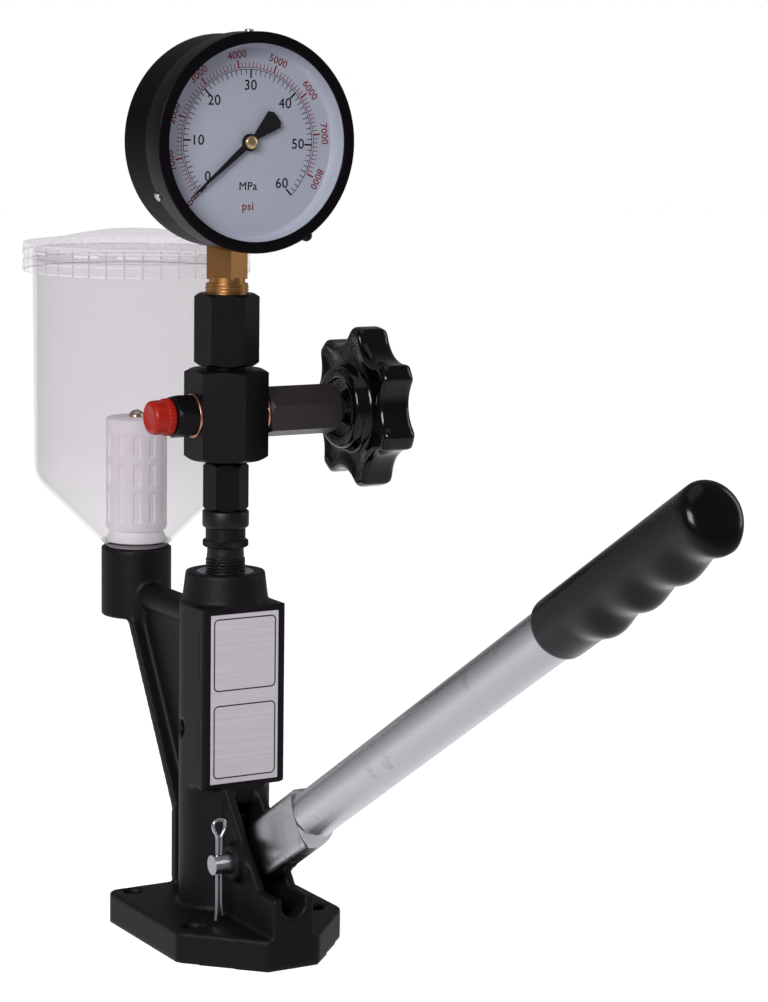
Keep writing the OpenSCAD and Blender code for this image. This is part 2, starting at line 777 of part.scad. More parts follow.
module casting_cuts() {
  for (x = [-1, 1], y = [-1, 1]) translate([x * bolt_spacing / 2, y * bolt_spacing / 2, -1])
    cylinder(d = bolt_hole_d, h = base_t + 2);
  // Pump bores from below and from above
  translate([0, 0, -1]) cylinder(d = chamber_d, h = chamber_top + 1);
  translate([0, 0, chamber_top - 1]) cylinder(d = barrel_d + 2 * fit_gap, h = barrel_ledge - chamber_top + 2);
  translate([0, 0, barrel_ledge]) cylinder(d = barrel_head_d + 2 * fit_gap, h = barrel_top - barrel_ledge + 1);
  translate([0, 0, barrel_top]) cylinder(d = holder_d + 2 * fit_gap, h = boss_top - barrel_top + 1);
  translate([0, 0, boss_top - boss_face_depth]) cylinder(d = boss_face_d, h = boss_face_depth + 1);
  // Way in for the rocker, and the notch in front
  translate([-cheek_gap / 2, -pad_front - 5, base_t]) cube([cheek_gap, pad_front + 5, pad_bottom - base_t - 8]);
  translate([0, -base_front - 1, notch_bottom + notch_r]) rotate([-90, 0, 0]) cylinder(r = notch_r, h = nose_t + 2);
  translate([-notch_r, -base_front - 1, notch_bottom + notch_r]) cube([cheek_gap, nose_t + 2, nose_h]);
  translate([0, -pivot_y, pivot_z]) rod_x(pin_d / 2 + fit_gap, -pin_boss_x - 1, pin_boss_x + 1);
  // Fuel passage and the recess for the tank
  translate([0, tank_y, arm_z]) rod_front(gallery_d / 2, 0, tank_y - 2);
  translate([0, tank_y, arm_z]) cylinder(d = bolt_d + 2 * fit_gap, h = cup_above + 1);
  translate([0, tank_y, gasket_z]) cylinder(r = neck_d / 2 + 0.6, h = cup_recess + 1);
  // Vent hole and the slots in the sides of the pad
  translate([0, vent_y, vent_z]) rod_x(vent_d / 2, -column_d, 0);
  for (side = [-1, 1], low = [side_slot_low, side_slot_high])
    translate([side * pad_w / 2 - side_slot_depth, -pad_front + side_slot_y, pad_bottom + low])
      cube([2 * side_slot_depth, side_slot_w, side_slot_h]);
}

module body_casting() {
  color(black) difference() {
    casting_solid();
    casting_cuts();
  }
}

module label_plate() {
  color("gainsboro") translate([0, -pad_front, pad_bottom + pad_h / 2]) rotate([90, 0, 0])
    linear_extrude(label_t) polygon(rounded([[-label_w / 2, -label_h / 2], [label_w / 2, -label_h / 2],
      [label_w / 2, label_h / 2], [-label_w / 2, label_h / 2]], 1));
}

module pump_barrel() {
  color(steel) difference() {
    union() {
      translate([0, 0, barrel_low]) cylinder(d = barrel_d, h = barrel_head_z - barrel_low + 1);
      translate([0, 0, barrel_head_z]) cylinder(d = barrel_head_d, h = barrel_top - barrel_head_z);
    }
    translate([0, 0, barrel_low - 1]) cylinder(r = plunger_d / 2 + running_gap, h = barrel_top - barrel_low + 2);
    translate([0, barrel_head_d, arm_z]) rod_front(port_d / 2, 0, barrel_head_d);
  }
}

module barrel_gasket() {
  color(copper) ring(barrel_head_d / 2, barrel_d / 2 + fit_gap, barrel_ledge, barrel_gasket_t);
}

module spring_seat() {
  color(steel) ring(chamber_d / 2 - 1, barrel_d / 2 + fit_gap, spring_high, spring_plate_t);
}

module plunger_spring() {
  color(steel) helix(spring_d / 2, spring_wire / 2, spring_low, spring_high, spring_coils);
}

module spring_retainer() {
  color(steel) ring(chamber_d / 2 - tappet_wall - 0.7, plunger_d / 2 + fit_gap, retainer_z, spring_plate_t);
}

module plunger() {
  color(steel) {
    translate([0, 0, foot_z]) cylinder(d = foot_d, h = foot_t);
    translate([0, 0, foot_z]) cylinder(d = plunger_d, h = plunger_top - foot_z);
  }
}

module tappet() {
  color(steel) translate([0, 0, tappet_z]) difference() {
    cylinder(r = chamber_d / 2 - running_gap, h = tappet_floor + tappet_skirt);
    translate([0, 0, tappet_floor]) cylinder(r = chamber_d / 2 - tappet_wall, h = tappet_skirt + 1);
  }
}

module delivery_valve_seat() {
  color(steel) ring(holder_d / 2, valve_guide_d / 2, barrel_top, seat_t);
}

module delivery_valve() {
  color(steel) {
    translate([0, 0, valve_rest]) cylinder(d = valve_head_d, h = valve_head_h);
    translate([0, 0, barrel_top + 1]) cylinder(r = valve_guide_d / 2 - running_gap, h = valve_rest - barrel_top);
  }
}

module delivery_valve_spring() {
  color(steel) helix(valve_head_d / 2 - valve_spring_wire, valve_spring_wire / 2, valve_top + fit_gap,
    valve_chamber_top - fit_gap, valve_spring_coils);
}

module valve_holder() {
  thread_r = holder_d / 2;
  color(black) difference() {
    rotate_extrude() polygon([[0, seat_top], [thread_r - 1, seat_top], [thread_r, seat_top + 1],
      [thread_r, waist_z], [holder_waist_d / 2, low_ring_z], [holder_low_ring_d / 2 - 0.5, low_ring_z],
      [holder_low_ring_d / 2, low_ring_z + 0.5], [holder_low_ring_d / 2, neck_z - 0.5],
      [holder_low_ring_d / 2 - 0.5, neck_z], [holder_neck_d / 2, neck_z], [holder_neck_d / 2, top_ring_z],
      [holder_top_ring_d / 2 - 0.6, top_ring_z], [holder_top_ring_d / 2, top_ring_z + 0.6],
      [holder_top_ring_d / 2, union_z - 0.6], [holder_top_ring_d / 2 - 0.6, union_z],
      [holder_spigot_d / 2, union_z], [holder_spigot_d / 2, union_z + holder_spigot_h],
      [0, union_z + holder_spigot_h]]);
    translate([0, 0, seat_top - 1]) cylinder(d = valve_chamber_d, h = valve_chamber_h + 1);
    translate([0, 0, seat_top]) cylinder(d = passage_d, h = union_z + holder_spigot_h - seat_top + 1);
  }
}

module union_nut() {
  color(black) difference() {
    union() {
      translate([0, 0, union_z]) hex_bar(union_af, union_h, union_clock);
      translate([0, 0, union_top - 1]) cylinder(d = union_spigot_d, h = union_gap + union_spigot_h + 1);
    }
    translate([0, 0, union_z - 1]) cylinder(r = holder_spigot_d / 2 + fit_gap, h = holder_spigot_h + 1.5);
    translate([0, 0, union_z]) cylinder(d = passage_d, h = union_h + union_gap + union_spigot_h + 1);
  }
}

module valve_block() {
  color(black) difference() {
    translate([0, 0, block_z]) hex_bar(block_af, block_h);
    translate([0, 0, block_z - 1]) cylinder(r = union_spigot_d / 2 + fit_gap, h = union_spigot_h + 1.5);
    translate([0, 0, block_z]) cylinder(d = passage_d, h = cross_z);
    translate([0, 0, cross]) {
      rod_x(passage_d / 2, -block_x, seat_x);
      rod_x(outlet_d / 2 + fit_gap, -block_x - 1, -block_x + nipple_in + 0.5);
      rod_x(needle_d, seat_x, block_x);
      rod_x(bonnet_spigot_d / 2 + fit_gap, bonnet_tip - 0.3, block_x + 1);
    }
    // The way up to the gauge leaves the needle's chamber
    translate([(seat_x + bonnet_tip) / 2, 0, cross]) cylinder(r = passage_d * 0.4, h = block_h - cross_z - 1);
    translate([0, 0, block_top - gauge_spigot_h - 0.5])
      cylinder(r = gauge_spigot_d / 2 + fit_gap, h = gauge_spigot_h + 2);
  }
}

module copper_washer(x, hole_d) {
  color(copper) translate([x, 0, cross]) difference() {
    rod_x(copper_d / 2, 0, copper_t);
    rod_x(hole_d / 2 + fit_gap, -1, copper_t + 1);
  }
}

module outlet_washer() {
  copper_washer(-side_x, outlet_d);
}

module bonnet_washer() {
  copper_washer(block_x, bonnet_spigot_d);
}

module outlet_nipple() {
  color(black) translate([0, 0, cross]) difference() {
    union() {
      translate([-side_x - nipple_hex_l, 0, 0]) rotate([0, 90, 0]) hex_bar(nipple_af, nipple_hex_l, nipple_clock);
      rod_x(outlet_d / 2, -side_x - nipple_hex_l - outlet_l, -side_x - 1);
      rod_x(outlet_d / 2, -side_x - 1, -block_x + nipple_in);
    }
    rod_x(passage_d / 2, -side_x - nipple_hex_l - outlet_l - 1, 0);
  }
}

module dust_cap() {
  color([0.8, 0.15, 0.08]) translate([-cap_x, 0, cross]) rotate([0, -90, 0]) difference() {
    rotate_extrude() polygon([[0, 0], [cap_rim_d / 2, 0], [cap_rim_d / 2, cap_rim_l], [cap_d / 2, cap_rim_l + 0.6],
      [cap_d / 2 - 0.3, cap_l - 1.5], [cap_d / 2 - 1.8, cap_l], [0, cap_l]]);
    translate([0, 0, -1]) cylinder(r = outlet_d / 2 + 2 * running_gap, h = outlet_l - cap_gap + 1.5);
  }
}

module valve_bonnet() {
  color([0.16, 0.13, 0.11]) translate([0, 0, cross]) difference() {
    union() {
      translate([side_x, 0, 0]) rotate([0, 90, 0]) hex_bar(bonnet_af, bonnet_l, bonnet_clock);
      rod_x(bonnet_spigot_d / 2, bonnet_tip, side_x + 1);
    }
    rod_x(spindle_d / 2 + running_gap, bonnet_tip - 1, bonnet_end + 1);
    rod_x(gland_d / 2 + fit_gap, bonnet_end - gland_depth, bonnet_end + 1);
  }
}

module spindle_packing() {
  color("ivory") translate([0, 0, cross]) difference() {
    rod_x(gland_d / 2, bonnet_end - gland_depth, bonnet_end - gland_depth + packing_l);
    rod_x(spindle_d / 2 + running_gap, 0, bonnet_end);
  }
}

module gland_nut() {
  color(steel) translate([0, 0, cross]) difference() {
    union() {
      rod_x(gland_d / 2, bonnet_end - gland_depth + packing_l, bonnet_end + 1);
      rod_x(gland_flange_d / 2, bonnet_end, bonnet_end + gland_flange_t);
    }
    rod_x(spindle_d / 2 + running_gap, 0, hub_x);
  }
}

module valve_needle() {
  needle_r = needle_d / 2;
  tip_r = 0.3;
  // The cone passes the edge of the seat with a little room
  cone_x = seat_x - (passage_d / 2 - tip_r - 0.1) * tan(60);
  shoulder_x = cone_x + (needle_r - tip_r) * tan(60);
  color(steel) translate([0, 0, cross]) rotate([0, 90, 0]) rotate_extrude()
    polygon([[0, cone_x], [tip_r, cone_x], [needle_r, shoulder_x], [needle_r, spindle_x + needle_tail_l],
      [0, spindle_x + needle_tail_l]]);
}

module valve_spindle() {
  color(steel) translate([0, 0, cross]) difference() {
    rod_x(spindle_d / 2, spindle_x, screw_recess - 1);
    rod_x(knob_screw_d / 2 + fit_gap, knob_x, knob_face);
    // Thread that draws the needle back as the knob turns
    rod_x(needle_d / 2 + running_gap, spindle_x - 1, spindle_x + needle_tail_l + needle_lift + 1);
  }
}

module knob_outline() {
  scallop_at = knob_d / 2 - knob_scallop_depth + knob_scallop_d / 2;
  difference() {
    circle(d = knob_d);
    for (i = [0 : knob_lobes - 1]) rotate(knob_clock + (i + 0.5) * 360 / knob_lobes)
      translate([scallop_at, 0]) circle(d = knob_scallop_d);
  }
}

module hand_knob() {
  color(black) translate([0, 0, cross]) difference() {
    union() {
      // Straight up in the drawing plane becomes +Z, and the turn runs towards the lever side
      translate([knob_x, 0, 0]) rotate([0, 0, 180]) rotate([0, -90, 0]) linear_extrude(knob_t) knob_outline();
      rod_x(knob_hub_d / 2, hub_x, knob_x + 1);
    }
    rod_x(spindle_d / 2 + running_gap, hub_x - 1, screw_recess - 0.5);
    rod_x(knob_screw_d / 2 + 0.3, hub_x, knob_face);
    rod_x(knob_screw_head_d / 2 + 0.5, screw_recess, knob_face + 1);
  }
}

module knob_screw() {
  color(steel) translate([0, 0, cross]) {
    rod_x(knob_screw_head_d / 2, screw_recess, screw_recess + knob_screw_head_t);
    rod_x(knob_screw_d / 2, knob_x + 3, screw_recess + 1);
  }
}

module gauge_nut() {
  color(black) difference() {
    union() {
      translate([0, 0, gauge_nut_z]) hex_bar(gauge_nut_af, gauge_nut_h);
      translate([0, 0, block_top - gauge_spigot_h]) cylinder(d = gauge_spigot_d, h = gauge_spigot_h + gauge_nut_gap + 1);
    }
    translate([0, 0, block_z]) cylinder(d = passage_d, h = gauge_nut_top - block_z);
    translate([0, 0, stem_z - gauge_washer_t]) cylinder(r = stem_d / 2 + fit_gap, h = stem_in + gauge_washer_t + 1);
  }
}

module gauge_washer() {
  color(copper) ring(stem_d / 2 - 0.3, passage_d / 2, stem_z - gauge_washer_t, gauge_washer_t);
}

module gauge_stem() {
  groove_z = square_z - stem_groove_w;
  color(brass) difference() {
    union() {
      translate([0, 0, stem_z]) cylinder(d = stem_d, h = groove_z - stem_z);
      translate([0, 0, groove_z - 1]) cylinder(d = stem_groove_d, h = stem_groove_w + 2);
      translate([0, 0, square_z]) rotate(square_clock) translate([-square_af / 2, -square_af / 2, 0])
        cube([square_af, square_af, square_h]);
      translate([0, 0, square_top - 1]) cylinder(d = stem_neck_d, h = socket_low - square_top + 2);
      translate([-socket_w / 2, -back_plate_y + fit_gap, socket_low])
        cube([socket_w, back_plate_y + socket_back - fit_gap, socket_h]);
    }
    translate([0, 0, stem_z - 1]) cylinder(d = passage_d, h = socket_low - stem_z + 6);
  }
}

module gauge_case() {
  color(black) at_gauge() difference() {
    union() {
      rod_front(case_r, -case_back, case_seam);
      rod_front(rim_r, case_seam - 1, rim_y);
    }
    rod_front(case_r - case_wall, -case_back + case_wall, case_seam - 2);
    rod_front(rim_r - case_wall, -case_back + case_wall, rim_y + 1);
    translate([0, 0, -case_r - 1]) cylinder(r = stem_neck_d / 2 + fit_gap, h = case_r / 2);
    for (a = [90, 210, 330]) rotate([0, -a, 0]) translate([case_r / 2, -case_seam - 2.5, 0])
      rod_x(bezel_screw_d / 4 + fit_gap, 0, case_r);
  }
}

module gauge_bezel() {
  color(black) at_gauge() difference() {
    rotate([90, 0, 0]) rotate_extrude() polygon([[0, case_seam], [bezel_r, case_seam], [bezel_r, bezel_front - 1.2],
      [bezel_r - 1.2, bezel_front], [0, bezel_front]]);
    rod_front(bezel_r - bezel_wall, case_seam - 1, lip_y);
    rod_front(bezel_open_d / 2, lip_y - 1, bezel_front + 1);
    for (a = [90, 210, 330]) rotate([0, -a, 0]) translate([case_r / 2, -case_seam - 2.5, 0])
      rod_x(bezel_screw_d / 4 + fit_gap, 0, case_r);
  }
}

module bezel_screws() {
  color(steel) at_gauge() for (a = [90, 210, 330]) rotate([0, -a, 0]) translate([0, -case_seam - 2.5, 0]) {
    rod_x(bezel_screw_d / 4, rim_r - case_wall, bezel_r + bezel_screw_h);
    difference() {
      rod_x(bezel_screw_d / 2, bezel_r - 1.2, bezel_r + bezel_screw_h);
      rotate([90, 0, 0]) cylinder(r = bezel_r, h = bezel_screw_d * 2, center = true);
    }
  }
}

module gauge_window() {
  color(clear) at_gauge() rod_front(bezel_r - bezel_wall - push_gap, window_y, lip_y);
}

module window_gasket() {
  color(rubber) at_gauge() difference() {
    rod_front(rim_r - 0.1, rim_y, window_y);
    rod_front(rim_r - case_wall, rim_y - 1, window_y + 1);
  }
}

module gauge_dial() {
  color("aliceblue") at_gauge() difference() {
    rod_front(dial_d / 2, dial_y, rim_y + 0.5);
    rod_front(dial_d / 2 - 0.7, dial_y + dial_t, rim_y + 1);
    rod_front(arbor_d, dial_y - 1, dial_y + dial_t + 1);
  }
}

// Outline of the pointer at zero, drawn with the tip along +X
module pointer_outline() {
  tip_w = 0.5;
  root_w = 3.4;
  waist = pointer_tail_w / 3.4;
  polygon([[pointer_l, tip_w / 2], [0, root_w / 2], [-pointer_hub_d / 2, waist / 2],
    [-pointer_tail_l + 2, pointer_tail_w / 2], [-pointer_tail_l, pointer_tail_w / 3.5],
    [-pointer_tail_l, -pointer_tail_w / 3.5], [-pointer_tail_l + 2, -pointer_tail_w / 2],
    [-pointer_hub_d / 2, -waist / 2], [0, -root_w / 2], [pointer_l, -tip_w / 2]]);
  circle(d = pointer_hub_d);
}

module gauge_pointer() {
  color(black) at_gauge() difference() {
    translate([0, -pointer_y, 0]) rotate([90, 0, 0]) rotate(225) linear_extrude(pointer_t) pointer_outline();
    rod_front(arbor_d / 2 + fit_gap, 0, bezel_front);
  }
}

// Pointed tooth whose middle line lies along +X
module tooth(r_root, r_pitch, r_tip, root_w, pitch_w, tip_w) {
  polygon([[r_root - 0.4, root_w / 2], [r_root, root_w / 2], [r_pitch, pitch_w / 2], [r_tip, tip_w / 2],
    [r_tip, -tip_w / 2], [r_pitch, -pitch_w / 2], [r_root, -root_w / 2], [r_root - 0.4, -root_w / 2]]);
}

module pointer_arbor() {
  m = tooth_module;
  color(brass) at_gauge() {
    rod_front(arbor_d / 2, back_plate_y + 0.2, pointer_y + pointer_t + 0.8);
    rod_front(arbor_d * 1.55, pointer_y + pointer_t, pointer_y + pointer_t + 1.4);
    translate([0, -sector_y + 0.5, 0]) rotate([90, 0, 0]) linear_extrude(sector_t + 1) {
      circle(r = pinion_r - 1.1 * m);
      for (i = [0 : pinion_teeth - 1]) rotate(-90 + (i + 0.5) * 360 / pinion_teeth)
        tooth(pinion_r - 1.1 * m, pinion_r, pinion_r + 0.8 * m, 1.4 * m, 1.15 * m, 0.5 * m);
    }
  }
}

module sector_gear() {
  m = tooth_module;
  step = 360 / sector_teeth;
  spare = 2;
  count = ceil(sector_swing / step) + 2 * spare;
  r_root = sector_r - 1.25 * m;
  reach = sector_r * 1.2;
  low = 90 - (count - spare + 0.5) * step;
  high = 90 + (spare + 0.5) * step;
  tail_low = 180 - sector_swing - 13;
  tail_high = 193;
  slot_w = link_pin_d + 0.3;
  color(brass) at_gauge() translate([0, 0, -gear_distance]) {
    translate([0, -sector_y, 0]) rotate([90, 0, 0]) linear_extrude(sector_t) {
      difference() {
        intersection() {
          circle(r = r_root);
          polygon([[0, 0], reach * [cos(low), sin(low)], reach * [cos((low + high) / 2), sin((low + high) / 2)],
            reach * [cos(high), sin(high)]]);
        }
        circle(d = arbor_d);
      }
      for (k = [-(count - spare) : spare]) rotate(90 + k * step)
        tooth(r_root, sector_r, sector_r + 0.8 * m, 1.9 * m, 1.3 * m, 0.5 * m);
      // Tail with an arc slot round the pivot, so the link's pin stays still while the sector turns
      difference() {
        intersection() {
          circle(r = tail_slot_r + 3);
          polygon([[0, 0], reach * [cos(tail_low), sin(tail_low)], reach * [cos(tail_high), sin(tail_high)]]);
        }
        circle(d = arbor_d);
        difference() {
          circle(r = tail_slot_r + slot_w / 2);
          circle(r = tail_slot_r - slot_w / 2);
          polygon([[0, 0], reach * [cos(tail_high - 6), sin(tail_high - 6)], [-reach, -reach], [reach, -reach],
            [reach, reach], [-reach / 2, reach], reach * [cos(tail_low + 6), sin(tail_low + 6)]]);
        }
      }
      circle(r = arbor_d * 1.6);
    }
    rod_front(arbor_d / 2, back_plate_y + 0.2, front_plate_y + plate_t - 0.2);
  }
}

module movement_frame() {
  plate_top = 9;
  pillar_x = plate_w / 2 - 2.5;
  color(brass) at_gauge() difference() {
    union() {
      translate([-plate_w / 2, -movement_y, socket_low - gauge_z + 1.5])
        cube([plate_w, plate_t, plate_top + gauge_z - socket_low - 1.5]);
      translate([-plate_w / 2, -front_plate_y - plate_t, -gear_distance - 5])
        cube([plate_w, plate_t, plate_top + gear_distance + 5]);
      for (p = [[-pillar_x, plate_top - 3], [pillar_x, plate_top - 3], [pillar_x, -gear_distance - 2.5]])
        translate([p[0], 0, p[1]]) rod_front(1.6, movement_y - 0.5, front_plate_y + 0.5);
      // Posts that carry the dial
      for (side = [-1, 1]) translate([side * pillar_x, 0, -gear_distance / 2])
        rod_front(1.5, front_plate_y + 0.5, dial_y);
      // Stud of the hairspring
      translate([hairspring_r + 0.5 + 0.27, 0, 0]) rod_front(0.5, spring_y, front_plate_y + 0.5);
    }
    rod_front(arbor_d / 2 + running_gap, 0, dial_y);
    translate([0, 0, -gear_distance]) rod_front(arbor_d / 2 + running_gap, 0, dial_y);
  }
}

module hairspring() {
  turns = 3;
  steps = 16;
  r1 = arbor_d / 2 + 0.3;
  r2 = hairspring_r;
  t = 0.25;
  total = turns * steps;
  inner = [for (i = [0 : total]) let (r = r1 + (r2 - r1) * i / total) r * [cos(360 * i / steps), sin(360 * i / steps)]];
  outer = [for (i = [total : -1 : 0]) let (r = r1 + t + (r2 - r1) * i / total) r * [cos(360 * i / steps), sin(360 * i / steps)]];
  color(steel) at_gauge() translate([0, -spring_y, 0]) rotate([90, 0, 0]) linear_extrude(0.8) polygon(concat(inner, outer));
}

module bourdon_tube() {
  start = -90 + asin((socket_w / 2 + 0.1) / (bourdon_r - bourdon_t / 2));
  color(brass) at_gauge() translate([0, 3, 0]) rotate([90, 0, 0]) rotate(start)
    rotate_extrude(angle = bourdon_sweep) translate([bourdon_r - bourdon_t / 2, 0]) square([bourdon_t, bourdon_w]);
}

module bourdon_link() {
  start = -90 + asin((socket_w / 2 + 0.1) / (bourdon_r - bourdon_t / 2));
  tip_a = start + bourdon_sweep - 2.5;
  tip = bourdon_r * [cos(tip_a), sin(tip_a)];
  pin = [-tail_slot_r, -gear_distance];
  bar = tip - pin;
  bar_y = movement_y + 1;
  color(brass) at_gauge() {
    translate([pin[0], -bar_y, pin[1]]) rotate([90, 0, 0]) linear_extrude(1.2) {
      rotate(atan2(bar[1], bar[0])) translate([0, -1]) square([norm(bar), 2]);
      circle(r = 1.4);
      translate(bar) circle(r = 1.4);
    }
    translate([pin[0], 0, pin[1]]) rod_front(link_pin_d / 2, bar_y + 0.5, sector_y + sector_t);
    translate([tip[0], 0, tip[1]]) rod_front(1.1, bourdon_w - 3, bar_y + 0.5);
  }
}

module tank() {
  lean = tank_wall * 1.42;
  color(clear) translate([0, tank_y, 0]) rotate_extrude() polygon([[bolt_d / 2 + 0.3, tank_z],
    [neck_d / 2 - 1, tank_z], [neck_d / 2, tank_z + 1], [neck_d / 2, cone_z], [tank_low_d / 2, wall_z],
    [tank_d / 2, tank_top], [tank_d / 2 - tank_wall, tank_top], [tank_low_d / 2 - tank_wall, wall_z + tank_wall * 0.4],
    [neck_d / 2 - lean + 1.2, cone_z + 1.2], [neck_d / 2 - lean, floor_z], [bolt_d / 2 + 0.3, floor_z]]);
}

module tank_lid() {
  r = tank_d / 2 + lid_over;
  inner_r = tank_d / 2 + push_gap;
  dome_r = lid_dome_d / 2;
  mid = lid_top - lid_skirt / 2 - lid_t / 2;
  color(clear) translate([0, tank_y, 0]) rotate_extrude() {
    polygon([[0, lid_top + lid_edge_rise + lid_dome_rise], [dome_r * 0.35, lid_top + lid_edge_rise + lid_dome_rise * 0.88],
      [dome_r * 0.7, lid_top + lid_edge_rise + lid_dome_rise * 0.5], [dome_r, lid_top + lid_edge_rise],
      [r - 0.8, lid_top], [r, lid_top - 0.8], [r, lid_top - lid_skirt], [r - lid_wall, lid_top - lid_skirt],
      [r - lid_wall, mid - 0.6], [inner_r + lid_wall, mid - 0.6], [inner_r + lid_wall, lid_top - lid_skirt + 1.5],
      [inner_r, lid_top - lid_skirt + 1.5], [inner_r, lid_under], [dome_r, lid_under + lid_edge_rise - 0.4],
      [dome_r * 0.7, lid_under + lid_edge_rise + lid_dome_rise * 0.5 - 0.4],
      [dome_r * 0.35, lid_under + lid_edge_rise + lid_dome_rise * 0.88 - 0.4],
      [0, lid_under + lid_edge_rise + lid_dome_rise - 0.4]]);
  }
}

module tank_gasket() {
  color(rubber) translate([0, tank_y, 0]) ring(neck_d / 2 - 0.2, bolt_d / 2 + 0.3, gasket_z, tank_gasket_t);
}

module filter_seat() {
  low_r = neck_d / 2 - tank_wall * 1.42 - 0.6;
  color("white") translate([0, tank_y, 0]) rotate_extrude() polygon([[bolt_d / 2 + 0.3, floor_z], [low_r, floor_z],
    [low_r, floor_z + 1.5], [filter_d / 2 - 0.5, filter_z - 2.5], [filter_d / 2 - 0.5, filter_z],
    [bolt_d / 2 + 0.3, filter_z]]);
}

module filter_cage() {
  tier_h = filter_h / filter_tiers;
  color("white") translate([0, tank_y, filter_z]) difference() {
    cylinder(d = filter_d, h = filter_h);
    translate([0, 0, filter_wall]) cylinder(r = filter_d / 2 - filter_wall, h = filter_h - 2 * filter_wall);
    translate([0, 0, -1]) cylinder(r = bolt_d / 2 + 0.3, h = filter_wall + 2);
    translate([0, 0, filter_h - filter_wall - 1]) cylinder(r = rod_d / 2 + fit_gap, h = filter_wall + 2);
    for (t = [0 : filter_tiers - 1], i = [0 : filter_windows - 1])
      rotate(i * 360 / filter_windows) translate([filter_d / 4, -(PI * filter_d / filter_windows - filter_bar) / 2,
        t * tier_h + filter_bar / 2]) cube([filter_d / 2, PI * filter_d / filter_windows - filter_bar, tier_h - filter_bar]);
  }
}

module filter_mesh() {
  r = filter_d / 2 - filter_wall - fit_gap;
  color("whitesmoke") translate([0, tank_y, 0]) ring(r, r - mesh_t, filter_z + filter_wall, filter_h - 2 * filter_wall);
}

module filter_bolt() {
  hollow_top = filter_z + 6;
  color(brass) translate([0, tank_y, 0]) difference() {
    union() {
      translate([0, 0, arm_z + gallery_d / 2 + 1]) cylinder(d = bolt_d, h = filter_z + 10 - arm_z - gallery_d / 2 - 1);
      translate([0, 0, filter_z]) cylinder(d = rod_d, h = filter_h + 1);
      translate([0, 0, filter_top]) rotate_extrude() polygon([[0, 0], [dome_d / 2, 0], [dome_d / 2, 0.8],
        [dome_d / 2 - 0.5, 1.2], [dome_d / 2 * 0.82, dome_h * 0.6], [dome_d / 2 * 0.5, dome_h * 0.9], [0, dome_h]]);
    }
    translate([0, 0, arm_z]) cylinder(d = gallery_d - 1, h = hollow_top - arm_z);
    translate([0, 0, hollow_top - 2]) rod_x(1.2, -bolt_d, bolt_d);
  }
}

cotter_x = pin_boss_x + 0.57 * pin_show;

module pivot_pin() {
  color(steel) translate([0, -pivot_y, pivot_z]) difference() {
    union() {
      rod_x(pin_d / 2, -pin_boss_x - pin_show, pin_boss_x + 1);
      rod_x(pin_head_d / 2, pin_boss_x, pin_boss_x + pin_head_t);
    }
    translate([-cotter_x, 0, -pin_d]) cylinder(d = cotter_d + 2 * fit_gap, h = 2 * pin_d);
  }
}

module cotter_pin() {
  eye_r = cotter_eye_d / 2;
  wire_r = cotter_d / 4;
  eye_z = cotter_up - eye_r;
  color(steel) translate([-cotter_x, -pivot_y, pivot_z]) difference() {
    union() {
      translate([0, 0, eye_z]) rotate([90, 0, 0]) rotate_extrude() translate([eye_r - wire_r, 0]) circle(r = wire_r, $fn = 24);
      translate([0, 0, -cotter_down]) cylinder(d = cotter_d, h = cotter_down + eye_z - eye_r + 2 * wire_r);
    }
    translate([-0.15, -cotter_d, -cotter_down - 1]) cube([0.3, 2 * cotter_d, cotter_down - pin_d / 2]);
  }
}

module rocker_profile() {
  hub = [-pivot_y, pivot_z];
  nose = [nose_y, nose_z];
  circle_at(hub, hub_d / 2);
  circle_at(nose, nose_r);
  // The top of the tail dips under the tappet's rim, so that only the nose comes near it
  polygon([hub + hub_d / 2 * [cos(20), sin(20)], [-chamber_d / 2 - 1.5, tappet_z - 1.9],
    nose + nose_r * [-0.5, 0.6], nose + [0, -nose_r], hub + hub_d / 2 * [-0.1, -0.99], hub]);
}

module circle_at(p, r) {
  translate(p) circle(r = r);
}

module lever_rocker() {
  hub_t = cheek_gap - 1.2;
  tongue_t = flat_t - 2 * tube_wall - 2 * fit_gap;
  tongue_h = flat_h - 2 * tube_wall - 2 * fit_gap;
  color(black) difference() {
    union() {
      translate([-hub_t / 2, 0, 0]) rotate([90, 0, 90]) linear_extrude(hub_t) rocker_profile();
      at_lever() translate([-tongue_t / 2, -flat_end + 4, flat_rise - tongue_h / 2])
        cube([tongue_t, flat_end - 4, tongue_h]);
    }
    translate([0, -pivot_y, pivot_z]) rod_x(pin_d / 2 + running_gap, -cheek_gap, cheek_gap);
  }
}

// Pressed end, change of section and round tube, narrowed on all sides by a wall for the hollow
module tube_body(inset) {
  flat_start = hub_d / 2 + 0.5;
  round_start = flat_end + flare_l;
  r = tube_d / 2 - inset;
  h = flat_h - 2 * inset;
  t = flat_t - 2 * inset;
  grow = inset > 0 ? 1 : 0;
  translate([-t / 2, -flat_end, flat_rise - h / 2]) cube([t, flat_end - flat_start + grow, h]);
  hull() {
    translate([-t / 2, -flat_end - tiny, flat_rise - h / 2]) cube([t, 2 * tiny, h]);
    translate([0, 0, tube_rise]) rod_front(r - 0.3, round_start, round_start + 2, $fn = 48);
  }
  translate([0, 0, tube_rise]) rod_front(r, round_start, grip_start + grip_l - grip_end_t + grow);
}

module lever_tube() {
  color(steel) at_lever() difference() {
    tube_body(0);
    tube_body(tube_wall);
  }
}

